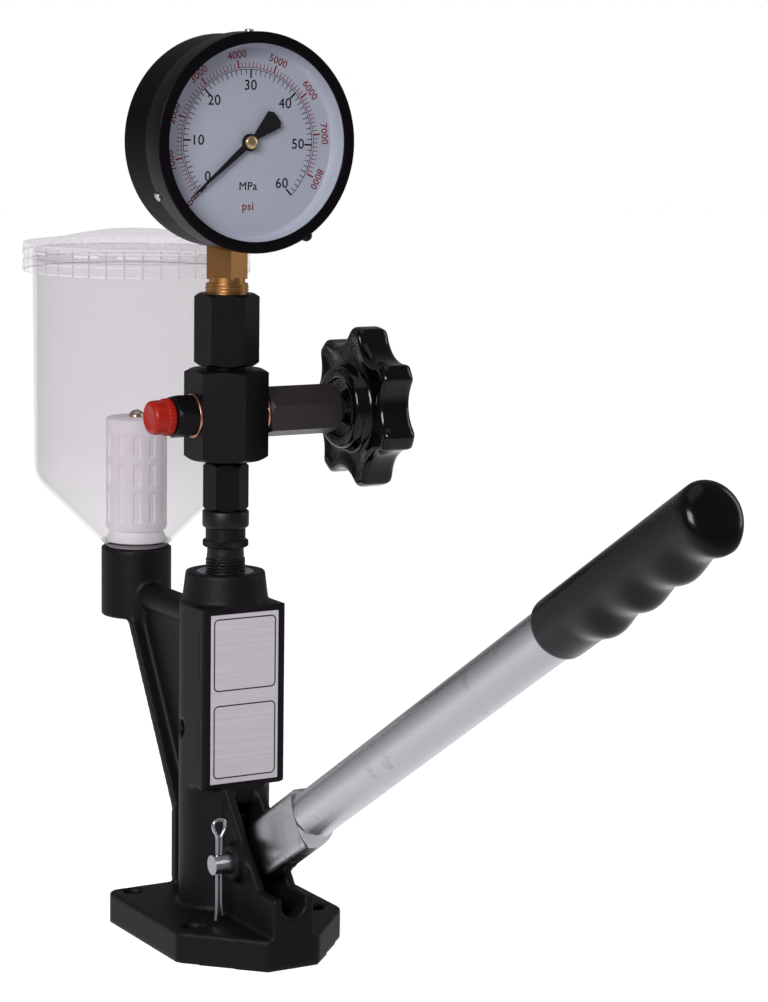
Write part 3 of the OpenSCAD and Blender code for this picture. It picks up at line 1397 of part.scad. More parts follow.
module lever_grip() {
  r = grip_d / 2;
  end = grip_start + grip_l;
  ridge_start = end + 12.5 - grip_ridges * grip_pitch;
  ridge_end = end - 1;
  groove_r = (grip_pitch * grip_pitch / 5 + grip_ridge_h * grip_ridge_h) / (2 * grip_ridge_h);
  color(rubber) at_lever() translate([0, 0, tube_rise]) difference() {
    union() {
      rotate([90, 0, 0]) rotate_extrude() polygon([[0, grip_start], [r - 0.8, grip_start], [r, grip_start + 1],
        [r, end - 6], [r - 0.7, end - 3.6], [r - 2.2, end - 1.6], [r - 4.6, end - 0.4], [r - 7, end], [0, end]]);
      // Ridges for the fingers, under the grip only
      translate([0, 0, -grip_ridge_h]) rotate([90, 0, 0]) rotate_extrude()
        polygon([[0, ridge_start], [r, ridge_start + 4], [r, ridge_end - 6], [r - 2.5, ridge_end - 2],
          [r - 6, ridge_end], [0, ridge_end]]);
    }
    rod_front(tube_d / 2 + fit_gap, grip_start - 1, end - grip_end_t);
    for (i = [0 : grip_ridges]) translate([0, -end + 5.5 + (i + 0.5) * grip_pitch, -r - groove_r - 0.4])
      rod_x(groove_r, -2 * r, 2 * r);
  }
}

body_casting();
label_plate();
pump_barrel();
barrel_gasket();
spring_seat();
plunger_spring();
spring_retainer();
plunger();
tappet();
delivery_valve_seat();
delivery_valve();
delivery_valve_spring();
valve_holder();
union_nut();
valve_block();
outlet_washer();
outlet_nipple();
dust_cap();
bonnet_washer();
valve_bonnet();
spindle_packing();
gland_nut();
valve_needle();
valve_spindle();
hand_knob();
knob_screw();
gauge_nut();
gauge_washer();
gauge_stem();
gauge_case();
gauge_bezel();
bezel_screws();
gauge_window();
window_gasket();
gauge_dial();
gauge_pointer();
pointer_arbor();
sector_gear();
movement_frame();
hairspring();
bourdon_tube();
bourdon_link();
tank();
tank_lid();
tank_gasket();
filter_seat();
filter_cage();
filter_mesh();
filter_bolt();
pivot_pin();
cotter_pin();
lever_rocker();
lever_tube();
lever_grip();
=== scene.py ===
import json
import math

import bmesh
import bpy
from mathutils import Matrix, Vector


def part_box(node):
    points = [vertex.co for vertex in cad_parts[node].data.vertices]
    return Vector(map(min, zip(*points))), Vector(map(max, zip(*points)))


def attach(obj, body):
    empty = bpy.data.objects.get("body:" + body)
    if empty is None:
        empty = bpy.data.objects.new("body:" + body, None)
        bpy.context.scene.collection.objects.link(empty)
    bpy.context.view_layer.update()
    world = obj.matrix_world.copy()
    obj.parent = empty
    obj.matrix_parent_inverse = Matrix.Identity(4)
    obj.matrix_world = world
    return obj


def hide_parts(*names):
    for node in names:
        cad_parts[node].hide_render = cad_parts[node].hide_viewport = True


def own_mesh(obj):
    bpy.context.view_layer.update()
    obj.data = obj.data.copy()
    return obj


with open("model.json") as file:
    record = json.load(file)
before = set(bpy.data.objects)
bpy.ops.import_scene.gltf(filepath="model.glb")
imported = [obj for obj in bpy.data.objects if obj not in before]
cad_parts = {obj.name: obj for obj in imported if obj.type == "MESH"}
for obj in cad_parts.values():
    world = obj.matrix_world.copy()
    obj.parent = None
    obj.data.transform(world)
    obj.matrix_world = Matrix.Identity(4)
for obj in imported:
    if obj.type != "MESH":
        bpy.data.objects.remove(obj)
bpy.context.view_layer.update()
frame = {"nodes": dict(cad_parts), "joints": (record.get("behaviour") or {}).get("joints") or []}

bl_info = {
    "name": "Diesel injector tester",
    "version": (1, 0, 0),
    "blender": (4, 5, 0),
    "location": "View3D > Sidebar > Injector tester",
    "description": "Dresses the packed injector tester with its cast, turned, printed and clear pieces",
    "category": "Object",
}

MM = 0.001
GAUGE_Z = 383.3
CROSS_Z = 254.1
TANK_Y = 99.0
PIVOT = (0.0, -35.5, 44.2)
LEVER_RISE = math.radians(31.6)


# Places: a matrix from millimetres in a piece's own axes to metres in the shared frame

def place(origin, x_axis, y_axis, z_axis):
    """Matrix that puts a piece drawn in millimetres into the frame."""
    turn = Matrix((x_axis, y_axis, z_axis)).transposed().to_4x4()
    return Matrix.Translation(Vector(origin) * MM) @ turn @ Matrix.Scale(MM, 4)


UPRIGHT = place((0, 0, 0), (1, 0, 0), (0, 1, 0), (0, 0, 1))
TANK_AXIS = place((0, TANK_Y, 0), (1, 0, 0), (0, 1, 0), (0, 0, 1))
GAUGE_FACE = place((0, 0, GAUGE_Z), (1, 0, 0), (0, 0, 1), (0, -1, 0))
KNOB_SIDE = place((0, 0, CROSS_Z), (0, 0, 1), (0, -1, 0), (1, 0, 0))
OUTLET_SIDE = place((0, 0, CROSS_Z), (0, 0, 1), (0, 1, 0), (-1, 0, 0))
LEVER_LINE = place(PIVOT, (1, 0, 0), (0, math.sin(LEVER_RISE), math.cos(LEVER_RISE)),
                   (0, -math.cos(LEVER_RISE), math.sin(LEVER_RISE)))


# Sizes and colours that a user may change

def length(name, text, default):
    """A size in metres, given here in millimetres."""
    return bpy.props.FloatProperty(name=name, description=text, default=default * MM, min=0.0, unit="LENGTH",
                                   precision=5)


def count(name, text, default):
    """A number of repeated things."""
    return bpy.props.IntProperty(name=name, description=text, default=default, min=3)


def paint(name, text, default):
    """A linear colour."""
    return bpy.props.FloatVectorProperty(name=name, description=text, default=default, size=3,
                                         min=0.0, max=1.0, subtype="COLOR")


class TesterSizes(bpy.types.PropertyGroup):
    """Sizes of the details that the solids leave plain."""

    cast_grid: length("Casting grid", "Grid that rounds the casting's edges", 1.1)
    hex_edge: length("Hexagon edge", "Width of the worn edge on the hexagons", 0.22)
    soft_edge: length("Soft edge", "Rounding of turned and pressed edges", 0.35)
    thread_pitch: length("Thread pitch", "Pitch of the threads that show", 1.5)
    thread_depth: length("Thread depth", "Depth of the threads that show", 0.7)
    ring_teeth: count("Ring teeth", "Serrations round the valve holder's ring", 56)
    cap_notches: count("Cap notches", "Grip notches round the cap's collar", 30)
    lid_ribs: count("Lid ribs", "Ribs round each tier of the lid", 40)
    knob_lobes: count("Knob lobes", "Lobes of the hand knob", 7)
    grip_ridge: length("Grip ridge", "Height of the ridges under the grip", 3.0)
    print_lift: length("Print lift", "Thickness of the printing on the dial", 0.03)
    minor_tick: length("Minor tick", "Length of the short marks on the dial", 2.4)
    major_tick: length("Major tick", "Length of the long marks on the dial", 3.9)


class TesterColours(bpy.types.PropertyGroup):
    """Colours of the finishes."""

    cast_black: paint("Casting", "Paint of the casting", (0.0052, 0.0040, 0.0058))
    hex_black: paint("Hexagons", "Black oxide of the hexagons", (0.0034, 0.0027, 0.0036))
    case_black: paint("Gauge case", "Paint of the gauge case", (0.0026, 0.0020, 0.0028))
    knob_black: paint("Knob", "Plastic of the knob", (0.0022, 0.0018, 0.0023))
    grip_black: paint("Grip", "Vinyl of the grip", (0.0026, 0.0021, 0.0027))
    zinc: paint("Zinc", "Plating of the lever", (0.52, 0.54, 0.55))
    steel: paint("Steel", "Machined steel", (0.56, 0.56, 0.57))
    brass: paint("Brass", "Brass of the socket and the movement", (0.52, 0.27, 0.095))
    copper: paint("Copper", "Copper washers", (0.80, 0.44, 0.31))
    cap_red: paint("Cap", "Plastic of the outlet cap", (0.42, 0.013, 0.004))
    dial_blue: paint("Dial", "Paint of the dial", (0.43, 0.47, 0.55))
    print_black: paint("Black print", "Black printing on the dial", (0.006, 0.006, 0.009))
    print_red: paint("Red print", "Red printing on the dial", (0.212, 0.013, 0.017))
    label_silver: paint("Label", "Metal of the label plate", (0.86, 0.83, 0.865))
    lid_tint: paint("Lid", "Tint of the clear lid", (0.86, 0.79, 0.88))
    tank_tint: paint("Tank", "Tint of the clear tank", (0.30, 0.20, 0.32))
    filter_white: paint("Filter", "Plastic of the filter", (0.92, 0.885, 0.895))
    rubber: paint("Rubber", "Seals", (0.010, 0.010, 0.010))


def sizes():
    """The sizes of this scene."""
    return bpy.context.scene.tester_sizes


def colours():
    """The colours of this scene."""
    return bpy.context.scene.tester_colours


# Shader maths

class Amount:
    """A number in a shader, so that sums on it add Math nodes."""

    def __init__(self, finish, socket):
        self.finish = finish
        self.socket = socket

    def sum(self, how, *values):
        """Result of one Math node."""
        node = self.finish.add("ShaderNodeMath", {"operation": how})
        for socket, value in zip(node.inputs, values):
            self.finish.put(socket, value)
        return Amount(self.finish, node.outputs[0])

    def __add__(self, other):
        return self.sum("ADD", self, other)

    def __radd__(self, other):
        return self.sum("ADD", other, self)

    def __sub__(self, other):
        return self.sum("SUBTRACT", self, other)

    def __rsub__(self, other):
        return self.sum("SUBTRACT", other, self)

    def __mul__(self, other):
        return self.sum("MULTIPLY", self, other)

    def __abs__(self):
        return self.sum("ABSOLUTE", self)

    def below(self, other):
        return self.sum("LESS_THAN", self, other)

    def above(self, other):
        return self.sum("GREATER_THAN", self, other)

    def most(self, other):
        return self.sum("MAXIMUM", self, other)

    def least(self, other):
        return self.sum("MINIMUM", self, other)

    def root(self):
        return self.sum("SQRT", self)


class Finish:
    """A procedural material whose shader is filled in by the finish functions."""

    def __init__(self, name):
        self.material = bpy.data.materials.new(name)
        self.material.use_nodes = True
        self.tree = self.material.node_tree
        self.tree.nodes.clear()
        self.shader = self.add("ShaderNodeBsdfPrincipled")
        self.end = self.add("ShaderNodeOutputMaterial")
        self.tree.links.new(self.shader.outputs[0], self.end.inputs["Surface"])

    def put(self, socket, value):
        """Gives an input a value or a link."""
        if isinstance(value, Amount):
            value = value.socket
        if isinstance(value, bpy.types.NodeSocket):
            self.tree.links.new(value, socket)
        elif socket.type == "RGBA" and len(value) == 3:
            socket.default_value = (*value, 1.0)
        else:
            socket.default_value = value

    def add(self, kind, settings=None, inputs=None):
        """A new node with its settings and inputs."""
        node = self.tree.nodes.new(kind)
        for name, value in (settings or {}).items():
            setattr(node, name, value)
        for name, value in (inputs or {}).items():
            self.put(node.inputs[name], value)
        return node

    def set(self, **values):
        """Inputs of the shader, with low lines in place of spaces in their names."""
        for name, value in values.items():
            self.put(self.shader.inputs[name.replace("_", " ")], value)

    def spot(self):
        """Place on the piece, in metres."""
        return self.add("ShaderNodeTexCoord").outputs["Object"]

    def axes(self):
        """The three parts of the place on the piece."""
        node = self.add("ShaderNodeSeparateXYZ", None, {0: self.spot()})
        return [Amount(self, socket) for socket in node.outputs]

    def noise(self, scale, detail=2.0, stretch=(1.0, 1.0, 1.0), turn=(0.0, 0.0, 0.0)):
        """Cloudy pattern, which may be stretched and turned."""
        mapped = self.add("ShaderNodeMapping", None,
                          {"Vector": self.spot(), "Rotation": turn, "Scale": stretch})
        node = self.add("ShaderNodeTexNoise", None,
                        {"Vector": mapped.outputs[0], "Scale": scale, "Detail": detail})
        return Amount(self, node.outputs["Fac"])

    def ramp(self, value, low, high):
        """Soft step from 0 at the low value to 1 at the high one."""
        node = self.add("ShaderNodeMapRange", {"interpolation_type": "SMOOTHSTEP"},
                        {"Value": value, "From Min": low, "From Max": high})
        return Amount(self, node.outputs[0])

    def facing(self):
        """0 on a face seen square on, 1 on one seen edge on."""
        node = self.add("ShaderNodeLayerWeight", None, {"Blend": 0.35})
        return Amount(self, node.outputs["Facing"])

    def mix(self, factor, first, second):
        """First colour where the factor is 0, second where it is 1."""
        node = self.add("ShaderNodeMix", {"data_type": "RGBA"})
        for index, value in ((0, factor), (6, first), (7, second)):
            self.put(node.inputs[index], value)
        return node.outputs[2]

    def shades(self, factor, colour, low, high):
        """One colour, from a darker to a lighter tone of it."""
        return self.mix(factor, tone(colour, low), tone(colour, high))

    def bump(self, height, strength, distance):
        """Fine relief of the surface."""
        node = self.add("ShaderNodeBump", None,
                        {"Height": height, "Strength": strength, "Distance": distance})
        self.put(self.shader.inputs["Normal"], node.outputs[0])
        return self


def tone(colour, factor):
    """The colour made lighter or darker."""
    return tuple(min(1.0, part * factor) for part in colour)


def cast_finish():
    """Satin paint on a sand casting, with the machined face on top of the column left bare."""
    finish = Finish("cast paint")
    black = colours().cast_black
    x, y, z = finish.axes()
    patch = finish.noise(28.0, 3.0)
    grain = finish.noise(900.0, 2.0)
    worn = finish.ramp(finish.noise(160.0, 4.0), 0.66, 0.74)
    coat = finish.shades(patch, black, 0.75, 1.45)
    coat = finish.mix(worn * 0.35, coat, tone(black, 2.4))
    bare_r = 13.6
    bare_z = 176.6
    bare = (x * x + y * y).root().below(bare_r * MM) * z.above(bare_z * MM)
    finish.set(Base_Color=finish.mix(bare, coat, (0.55, 0.55, 0.56)), Metallic=bare,
               Roughness=0.44 + grain * 0.14 - bare * 0.20, Specular_IOR_Level=0.22)
    return finish.bump(grain * 0.7 + finish.noise(260.0, 3.0), 0.16, 0.0004).material


def oxide_finish(name, colour, warm=0.0, shine=0.20):
    """Black oxide on turned steel: fine lines, patches and a slight brown where it is thin."""
    finish = Finish(name)
    lines = finish.noise(320.0, 2.0, (1.0, 1.0, 9.0))
    patch = finish.noise(55.0, 3.0)
    base = finish.shades(patch, colour, 0.8, 1.35)
    base = finish.mix(patch * warm, base, (0.045, 0.030, 0.022))
    finish.set(Base_Color=base, Roughness=0.34 + lines * 0.16, Specular_IOR_Level=shine)
    return finish.bump(lines, 0.05, 0.0001).material


def worn_finish():
    """Edge of a hexagon where the oxide has rubbed away."""
    finish = Finish("rubbed edge")
    rub = finish.ramp(finish.noise(420.0, 3.0), 0.35, 0.72)
    finish.set(Base_Color=finish.mix(rub, (0.03, 0.03, 0.032), (0.16, 0.155, 0.15)), Metallic=rub * 0.8,
               Roughness=0.32)
    return finish.material


def metal_finish(name, colour, rough, stretch=(1.0, 1.0, 1.0), grain=500.0):
    """Bare metal with fine tool marks along one direction."""
    finish = Finish(name)
    lines = finish.noise(grain, 3.0, stretch)
    patch = finish.noise(40.0, 2.0)
    finish.set(Base_Color=finish.shades(patch, colour, 0.86, 1.1), Metallic=1.0,
               Roughness=rough + lines * 0.12 - 0.06)
    return finish.bump(lines, 0.04, 0.0001).material


def zinc_finish():
    """Bright zinc plating on the lever tube, with drawn lines along it, a few dull spots and painted shade
    that darkens the end near the pivot.
    """
    finish = Finish("zinc plating")
    colour = colours().zinc
    lines = finish.noise(12.0, 3.0, (60.0, 1.5, 60.0), (LEVER_RISE, 0.0, 0.0))
    spots = finish.ramp(finish.noise(90.0, 4.0), 0.60, 0.78)
    y, z = finish.axes()[1:]
    along = (z - PIVOT[2] * MM) * math.sin(LEVER_RISE) - (y - PIVOT[1] * MM) * math.cos(LEVER_RISE)
    # Painted shade: the tube darkens towards its pivot end, where the cheeks shade it.
    painted_shade_near_pivot = 1.0 - finish.ramp(along, 12.0 * MM, 27.0 * MM)
    coat = finish.mix(spots * 0.6, colour, tone(colour, 0.62))
    finish.set(Base_Color=finish.mix(painted_shade_near_pivot * 0.9, coat, tone(colour, 0.06)), Metallic=1.0,
               Roughness=0.21 + lines * 0.10 + spots * 0.12)
    return finish.bump(lines, 0.05, 0.0002).material


def plastic_finish(name, colour, rough, grain, strength, coat=0.0, shine=0.5):
    """Moulded plastic with slight unevenness of gloss and surface."""
    finish = Finish(name)
    patch = finish.noise(36.0, 2.0)
    pores = finish.noise(grain, 2.0)
    finish.set(Base_Color=finish.shades(patch, colour, 0.86, 1.14),
               Roughness=rough + patch * 0.08 - 0.02, Coat_Weight=coat, Coat_Roughness=0.06,
               Specular_IOR_Level=shine)
    return finish.bump(pores, strength, 0.0003).material


def case_finish(name, shine):
    """Satin paint of the gauge case and its bezel."""
    finish = Finish(name)
    colour = colours().case_black
    pores = finish.noise(750.0, 2.0)
    patch = finish.noise(24.0, 2.0)
    finish.set(Base_Color=finish.shades(patch, colour, 0.8, 1.3), Roughness=0.29 + pores * 0.08,
               Specular_IOR_Level=shine)
    return finish.bump(pores, 0.06, 0.0002).material


def dial_finish():
    """Pale dial paint, a little darker towards the upper right and slightly uneven."""
    finish = Finish("dial paint")
    colour = colours().dial_blue
    x, z = finish.axes()[::2]
    rise = finish.ramp(x + (z - GAUGE_Z * MM), -0.06, 0.06)
    fine = finish.noise(700.0, 2.0)
    base = finish.shades(rise, colour, 1.08, 0.94)
    finish.set(Base_Color=finish.mix(fine * 0.12, base, (0.9, 0.9, 0.92)), Roughness=0.42)
    return finish.material


def label_finish():
    """Brushed label plate, bare apart from two printed frames."""
    finish = Finish("label plate")
    silver = colours().label_silver
    x, z = finish.axes()[::2]
    ink = None
    corner = 2.2
    half_wide = 16.3 - corner
    half_line = 0.33
    for low, high in ((124.3, 158.8), (81.8, 116.9)):
        middle = (high + low) / 2
        half_tall = (high - low) / 2 - corner
        past_x = abs(x) - half_wide * MM
        past_z = abs(z - middle * MM) - half_tall * MM
        over_x = past_x.most(0.0)
        over_z = past_z.most(0.0)
        inner = past_x.most(past_z).least(0.0)
        edge = abs((over_x * over_x + over_z * over_z).root() + inner - corner * MM)
        line = edge.below(half_line * MM)
        ink = line if ink is None else ink.most(line)
    brushed = finish.noise(240.0, 3.0, (0.05, 1.0, 3.0))
    mark = finish.ramp(finish.noise(120.0, 4.0), 0.62, 0.80)
    base = finish.shades(brushed, silver, 0.86, 1.14)
    base = finish.mix(mark * 0.12, base, tone(silver, 0.7))
    finish.set(Base_Color=finish.mix(ink, base, (0.012, 0.012, 0.014)), Metallic=0.35 - ink * 0.35,
               Roughness=0.42 + brushed * 0.12)
    return finish.material


def print_finish(name, colour):
    """Matt ink on the dial, also used for the painted shadow at the seam behind the bezel."""
    finish = Finish(name)
    patch = finish.noise(900.0, 2.0)
    finish.set(Base_Color=finish.shades(patch, colour, 0.8, 1.3), Roughness=0.6, Specular_IOR_Level=0.1)
    return finish.material


def clear_finish(name, tint, body, edge, rough):
    """Clear plastic or glass: almost nothing face on, more at the edges."""
    finish = Finish(name)
    rim = finish.facing()
    cloud = finish.noise(18.0, 2.0)
    finish.set(Base_Color=finish.shades(cloud, tint, 0.97, 1.03), Roughness=rough,
               Alpha=body + rim * rim * edge, IOR=1.49)
    return finish.material


def tank_finish():
    """Clear tank with a painted highlight band and a painted shade line low down, where it sits in the cup.
    """
    finish = Finish("tank plastic")
    tint = colours().tank_tint
    z = finish.axes()[2]
    rim = finish.facing()
    cloud = finish.noise(18.0, 2.0)
    foot_z = 176.2
    seat_z = 178.3
    above = finish.ramp(z, 175.2 * MM, 176.4 * MM)
    # Painted highlight: a pale band where the tank's rounded edge meets the cup's rim.
    painted_rim_glint = abs(z - foot_z * MM).below(0.45 * MM)
    # Painted shade: a dark line just above it, where the tank sits in the cup.
    line = abs(z - seat_z * MM).below(0.30 * MM)
    base = finish.shades(cloud, tint, 0.97, 1.03)
    milky = above * z.below(178.0 * MM)
    cone = 1 - finish.ramp(z, 190.0 * MM, 226.0 * MM)
    base = finish.mix(milky, base, (0.58, 0.54, 0.58))
    base = finish.mix(painted_rim_glint, base, (0.90, 0.87, 0.90))
    base = finish.mix(line, base, (0.06, 0.05, 0.06))
    wall = 0.135 - cone * 0.045 + rim * rim * 0.12 + milky * 0.42
    finish.set(Base_Color=base, Roughness=0.09, IOR=1.49, Alpha=wall * above + painted_rim_glint * 0.25 + line * 0.22)
    return finish.material


def lid_finish():
    """Clear lid with painted shade lines at its ribs and groove, painted highlight bars between them, a
    painted highlight on its lower edge and a faint painted glow.
    """
    finish = Finish("lid plastic")
    tint = colours().lid_tint
    x, y, z = finish.axes()
    y = y - TANK_Y * MM
    out = (x * x + y * y).root()
    around = out.sum("ARCTAN2", y, x) * (sizes().lid_ribs / (2 * math.pi)) + sizes().lid_ribs
    off = abs(around.sum("FRACT", around) - 0.5)
    skirt_r = 56.0
    skirt_top = 328.9
    groove_z = 322.4
    glint_bar_z = 325.5
    thin_glint_bar_z = 320.6
    lower_edge = 316.1
    side = out.above(skirt_r * MM) * z.below(skirt_top * MM)
    # Painted shade: dark lines at the ribs and in the groove between the tiers.
    rib = off.below(0.036)
    groove = abs(z - groove_z * MM).below(0.28 * MM)
    dark = side * rib.most(groove)
    # Painted highlights: glint bars on the tiers and a bright lower edge.
    patchy = finish.ramp(finish.noise(70.0, 1.0), 0.42, 0.50)
    glint_bar = off.above(0.075) * abs(z - glint_bar_z * MM).below(0.55 * MM) * patchy
    thin_glint_bar = off.above(0.10) * abs(z - thin_glint_bar_z * MM).below(0.22 * MM)
    low = z.below(lower_edge * MM)
    pale = side * glint_bar.most(thin_glint_bar).most(low)
    cloud = finish.noise(18.0, 2.0)
    base = finish.shades(cloud, tint, 0.97, 1.03)
    base = finish.mix(pale, base, (0.98, 0.96, 0.98))
    base = finish.mix(dark, base, (0.10, 0.085, 0.10))
    # Painted glow: the emission stands in for light that passes through the lid.
    finish.set(Base_Color=base, Roughness=0.10, IOR=1.49, Emission_Color=tuple(tint), Emission_Strength=0.13,
               Alpha=0.38 - side * 0.21 + pale * 0.42 + dark * 0.12)
    return finish.material


def filter_finish():
    """Milky moulded plastic of the filter, with a faint painted glow standing in for light that passes
    through it.
    """
    finish = Finish("filter plastic")
    white = colours().filter_white
    patch = finish.noise(120.0, 3.0)
    # Painted glow: the emission stands in for light that passes through the plastic.
    finish.set(Base_Color=finish.shades(patch, white, 0.92, 1.05), Roughness=0.45 + patch * 0.1,
               Emission_Color=tuple(white), Emission_Strength=0.13)
    return finish.bump(patch, 0.05, 0.0002).material


FINISHES = {}


def make_finishes():
    """Every finish, made once."""
    c = colours()
    FINISHES.update({
        "cast": cast_finish(),
        "oxide": oxide_finish("black oxide", c.hex_black),
        "oxide_warm": oxide_finish("thin black oxide", c.hex_black, 0.55, 0.6),
        "oxide_turned": oxide_finish("turned black oxide", c.hex_black, 0.1, 0.42),
        "rubbed": worn_finish(),
        "case": case_finish("case paint", 0.03),
        "bezel": case_finish("bezel paint", 0.16),
        "seam": print_finish("seam shadow", (0.0008, 0.0007, 0.0008)),
        "zinc": zinc_finish(),
        "steel": metal_finish("machined steel", c.steel, 0.30, (1.0, 1.0, 6.0)),
        "spring": metal_finish("spring wire", tone(c.steel, 0.7), 0.32),
        "brass": metal_finish("brass", c.brass, 0.36, (1.0, 1.0, 8.0), 420.0),
        "hub_brass": metal_finish("hub brass", (0.80, 0.60, 0.30), 0.30),
        "copper": metal_finish("copper", c.copper, 0.30),
        "knob": plastic_finish("knob plastic", c.knob_black, 0.10, 60.0, 0.008, 0.15, 0.32),
        "grip": plastic_finish("grip vinyl", c.grip_black, 0.17, 420.0, 0.05, 0.0, 0.28),
        "cap": plastic_finish("cap plastic", c.cap_red, 0.34, 380.0, 0.05, 0.0, 0.35),
        "pointer": plastic_finish("pointer paint", tone(c.print_black, 0.6), 0.5, 700.0, 0.04, 0.0, 0.15),
        "dial": dial_finish(),
        "label": label_finish(),
        "ink": print_finish("black ink", c.print_black),
        "red_ink": print_finish("red ink", c.print_red),
        "window": clear_finish("window", (0.30, 0.31, 0.33), 0.02, 0.20, 0.05),
        "tank": tank_finish(),
        "lid": lid_finish(),
        "lid_inner": clear_finish("lid inner face", c.lid_tint, 0.0, 0.04, 0.10),
        "bolt_brass": metal_finish("bright brass", (0.80, 0.68, 0.38), 0.22),
        "filter": filter_finish(),
        "rubber": plastic_finish("seal rubber", c.rubber, 0.62, 600.0, 0.10),
        "packing": plastic_finish("packing", (0.7, 0.68, 0.62), 0.7, 900.0, 0.2),
    })


# Mesh helpers

def skin(shape, rings, wrap=False):
    """Faces between neighbouring rings of points, where a ring of one point is a pole."""
    rows = [[shape.verts.new(point) for point in ring] for ring in rings]
    pairs = list(zip(rows, rows[1:]))
    if wrap:
        pairs.append((rows[-1], rows[0]))
    for low, high in pairs:
        most = max(len(low), len(high))
        for i in range(most):
            corners = []
            for row, index in ((low, i), (low, i + 1), (high, i + 1), (high, i)):
                vert = row[index % len(row)]
                if vert not in corners:
                    corners.append(vert)
            if len(corners) > 2:
                shape.faces.new(corners)
    return shape


def circle(radius, height, steps):
    """Ring of points; the radius may be a function of the angle."""
    if not callable(radius) and radius <= 0.0:
        return [Vector((0.0, 0.0, height))]
    ring = []
    for i in range(steps):
        angle = 2 * math.pi * i / steps
        r = radius(angle) if callable(radius) else radius
        ring.append(Vector((r * math.cos(angle), r * math.sin(angle), height)))
    return ring


def eased(points, steps=4, closed=True):
    """Profile of (radius, height, rounding) corners with each corner rounded."""
    result = []
    total = len(points)
    for i, point in enumerate(points):
        here = Vector(point[:2])
        bend = point[2] if len(point) > 2 else 0.0
        if bend <= 0.0 or (not closed and i in (0, total - 1)):
            result.append(here)
            continue
        before = Vector(points[i - 1][:2]) - here
        after = Vector(points[(i + 1) % total][:2]) - here
        start = here + before.normalized() * min(bend, before.length * 0.48)
        stop = here + after.normalized() * min(bend, after.length * 0.48)
        for k in range(steps + 1):
            t = k / steps
            result.append(start * (1 - t) ** 2 + here * 2 * t * (1 - t) + stop * t * t)
    return result


def stack(profile, steps):
    """Rings of points from rows of radius and height."""
    return [circle(radius, height, steps) for radius, height in profile]


def lathe(profile, steps, wrap=True):
    """Turned shape from a profile of radius and height."""
    return skin(bmesh.new(), stack(profile, steps), wrap)


def mesh_from(shape, name, where):
    """Mesh of a closed shape in its place, with its faces pointing outwards."""
    bmesh.ops.remove_doubles(shape, verts=shape.verts, dist=1e-5)
    bmesh.ops.recalc_face_normals(shape, faces=shape.faces)
    shape.transform(where)
    mesh = bpy.data.meshes.new(name)
    shape.to_mesh(mesh)
    shape.free()
    return mesh


def finish_piece(name, mesh, body, finishes, nodes=(), angle=30.0):
    """A piece that rides on a body, takes a slot and may stand for nodes."""
    mesh.materials.clear()
    for finish in finishes:
        mesh.materials.append(FINISHES[finish])
    if angle:
        mesh.shade_smooth()
        mesh.set_sharp_from_angle(angle=math.radians(angle))
    piece = bpy.data.objects.new(name, mesh)
    bpy.context.scene.collection.objects.link(piece)
    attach(piece, body)
    if nodes:
        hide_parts(*nodes)
    return piece


def piece_from(name, shape, where, body, finishes, nodes=(), angle=30.0):
    """A piece made from a drawn shape, put in its place."""
    return finish_piece(name, mesh_from(shape, name, where), body, finishes, nodes, angle)


def evaluated(holder):
    """Plain mesh of an object with its modifiers, and the object removed."""
    graph = bpy.context.evaluated_depsgraph_get()
    mesh = bpy.data.meshes.new_from_object(holder.evaluated_get(graph))
    data = holder.data
    kind = holder.type
    holder.modifiers.clear()
    bpy.data.objects.remove(holder)
    if kind == "MESH" and data.users == 0:
        bpy.data.meshes.remove(data)
    return mesh


def copy_of_node(node):
    """Merged copy of a node's mesh on a working object."""
    shape = bmesh.new()
    shape.from_mesh(frame["nodes"][node].data)
    bmesh.ops.remove_doubles(shape, verts=shape.verts, dist=2e-6)
    flat = math.radians(0.5)
    bmesh.ops.dissolve_limit(shape, angle_limit=flat, verts=shape.verts, edges=shape.edges)
    mesh = bpy.data.meshes.new(node + "_work")
    shape.to_mesh(mesh)
    shape.free()
    holder = bpy.data.objects.new(node + "_work", mesh)
    bpy.context.scene.collection.objects.link(holder)
    return holder


def softened(node, width, body, finishes):
    """The node's own shape with its edges broken; a second finish goes on the broken edges."""
    holder = copy_of_node(node)
    for finish in finishes:
        holder.data.materials.append(FINISHES[finish])
    holder.data.polygons.foreach_set("material_index", [0] * len(holder.data.polygons))
    holder.data.shade_smooth()
    bevel = holder.modifiers.new("edges", "BEVEL")
    bevel.width = width
    bevel.segments = 2
    bevel.limit_method = "ANGLE"
    bevel.angle_limit = math.radians(28.0)
    bevel.harden_normals = False
    bevel.use_clamp_overlap = True
    bevel.material = len(finishes) - 1
    flats = holder.modifiers.new("flats", "WEIGHTED_NORMAL")
    flats.weight = 80
    mesh = evaluated(holder)
    mesh.name = node
    return finish_piece(node + "_finished", mesh, body, finishes, (node,), 0.0)


def wire_of_spring(node):
    """Half the wire's thickness: the height of the first end of a wound node above its lowest point."""
    points = [vertex.co for vertex in node.data.vertices]
    lowest = min(point.z for point in points)
    start = [point.z for point in points if abs(math.atan2(point.y, point.x)) < 0.01]
    nearest = sorted(start)[:12]
    return (max(nearest) - lowest) / 2


def spring_mesh(rows, name):
    """Closed skin over rings of a wound wire."""
    shape = bmesh.new()
    rings = [[shape.verts.new(point) for point in row] for row in rows]
    sides = len(rows[0])
    for first, second in zip(rings, rings[1:]):
        for side in range(sides):
            following = (side + 1) % sides
            shape.faces.new((first[side], first[following], second[following], second[side]))
    shape.faces.new(rings[0])
    shape.faces.new(rings[-1])
    bmesh.ops.recalc_face_normals(shape, faces=shape.faces)
    mesh = bpy.data.meshes.new(name)
    shape.to_mesh(mesh)
    shape.free()
    return mesh


def dress(node, finish):
    """A better finish on a node whose shape is right."""
    mesh = frame["nodes"][node].data
    mesh.materials.clear()
    mesh.materials.append(FINISHES[finish])


# Repeated things

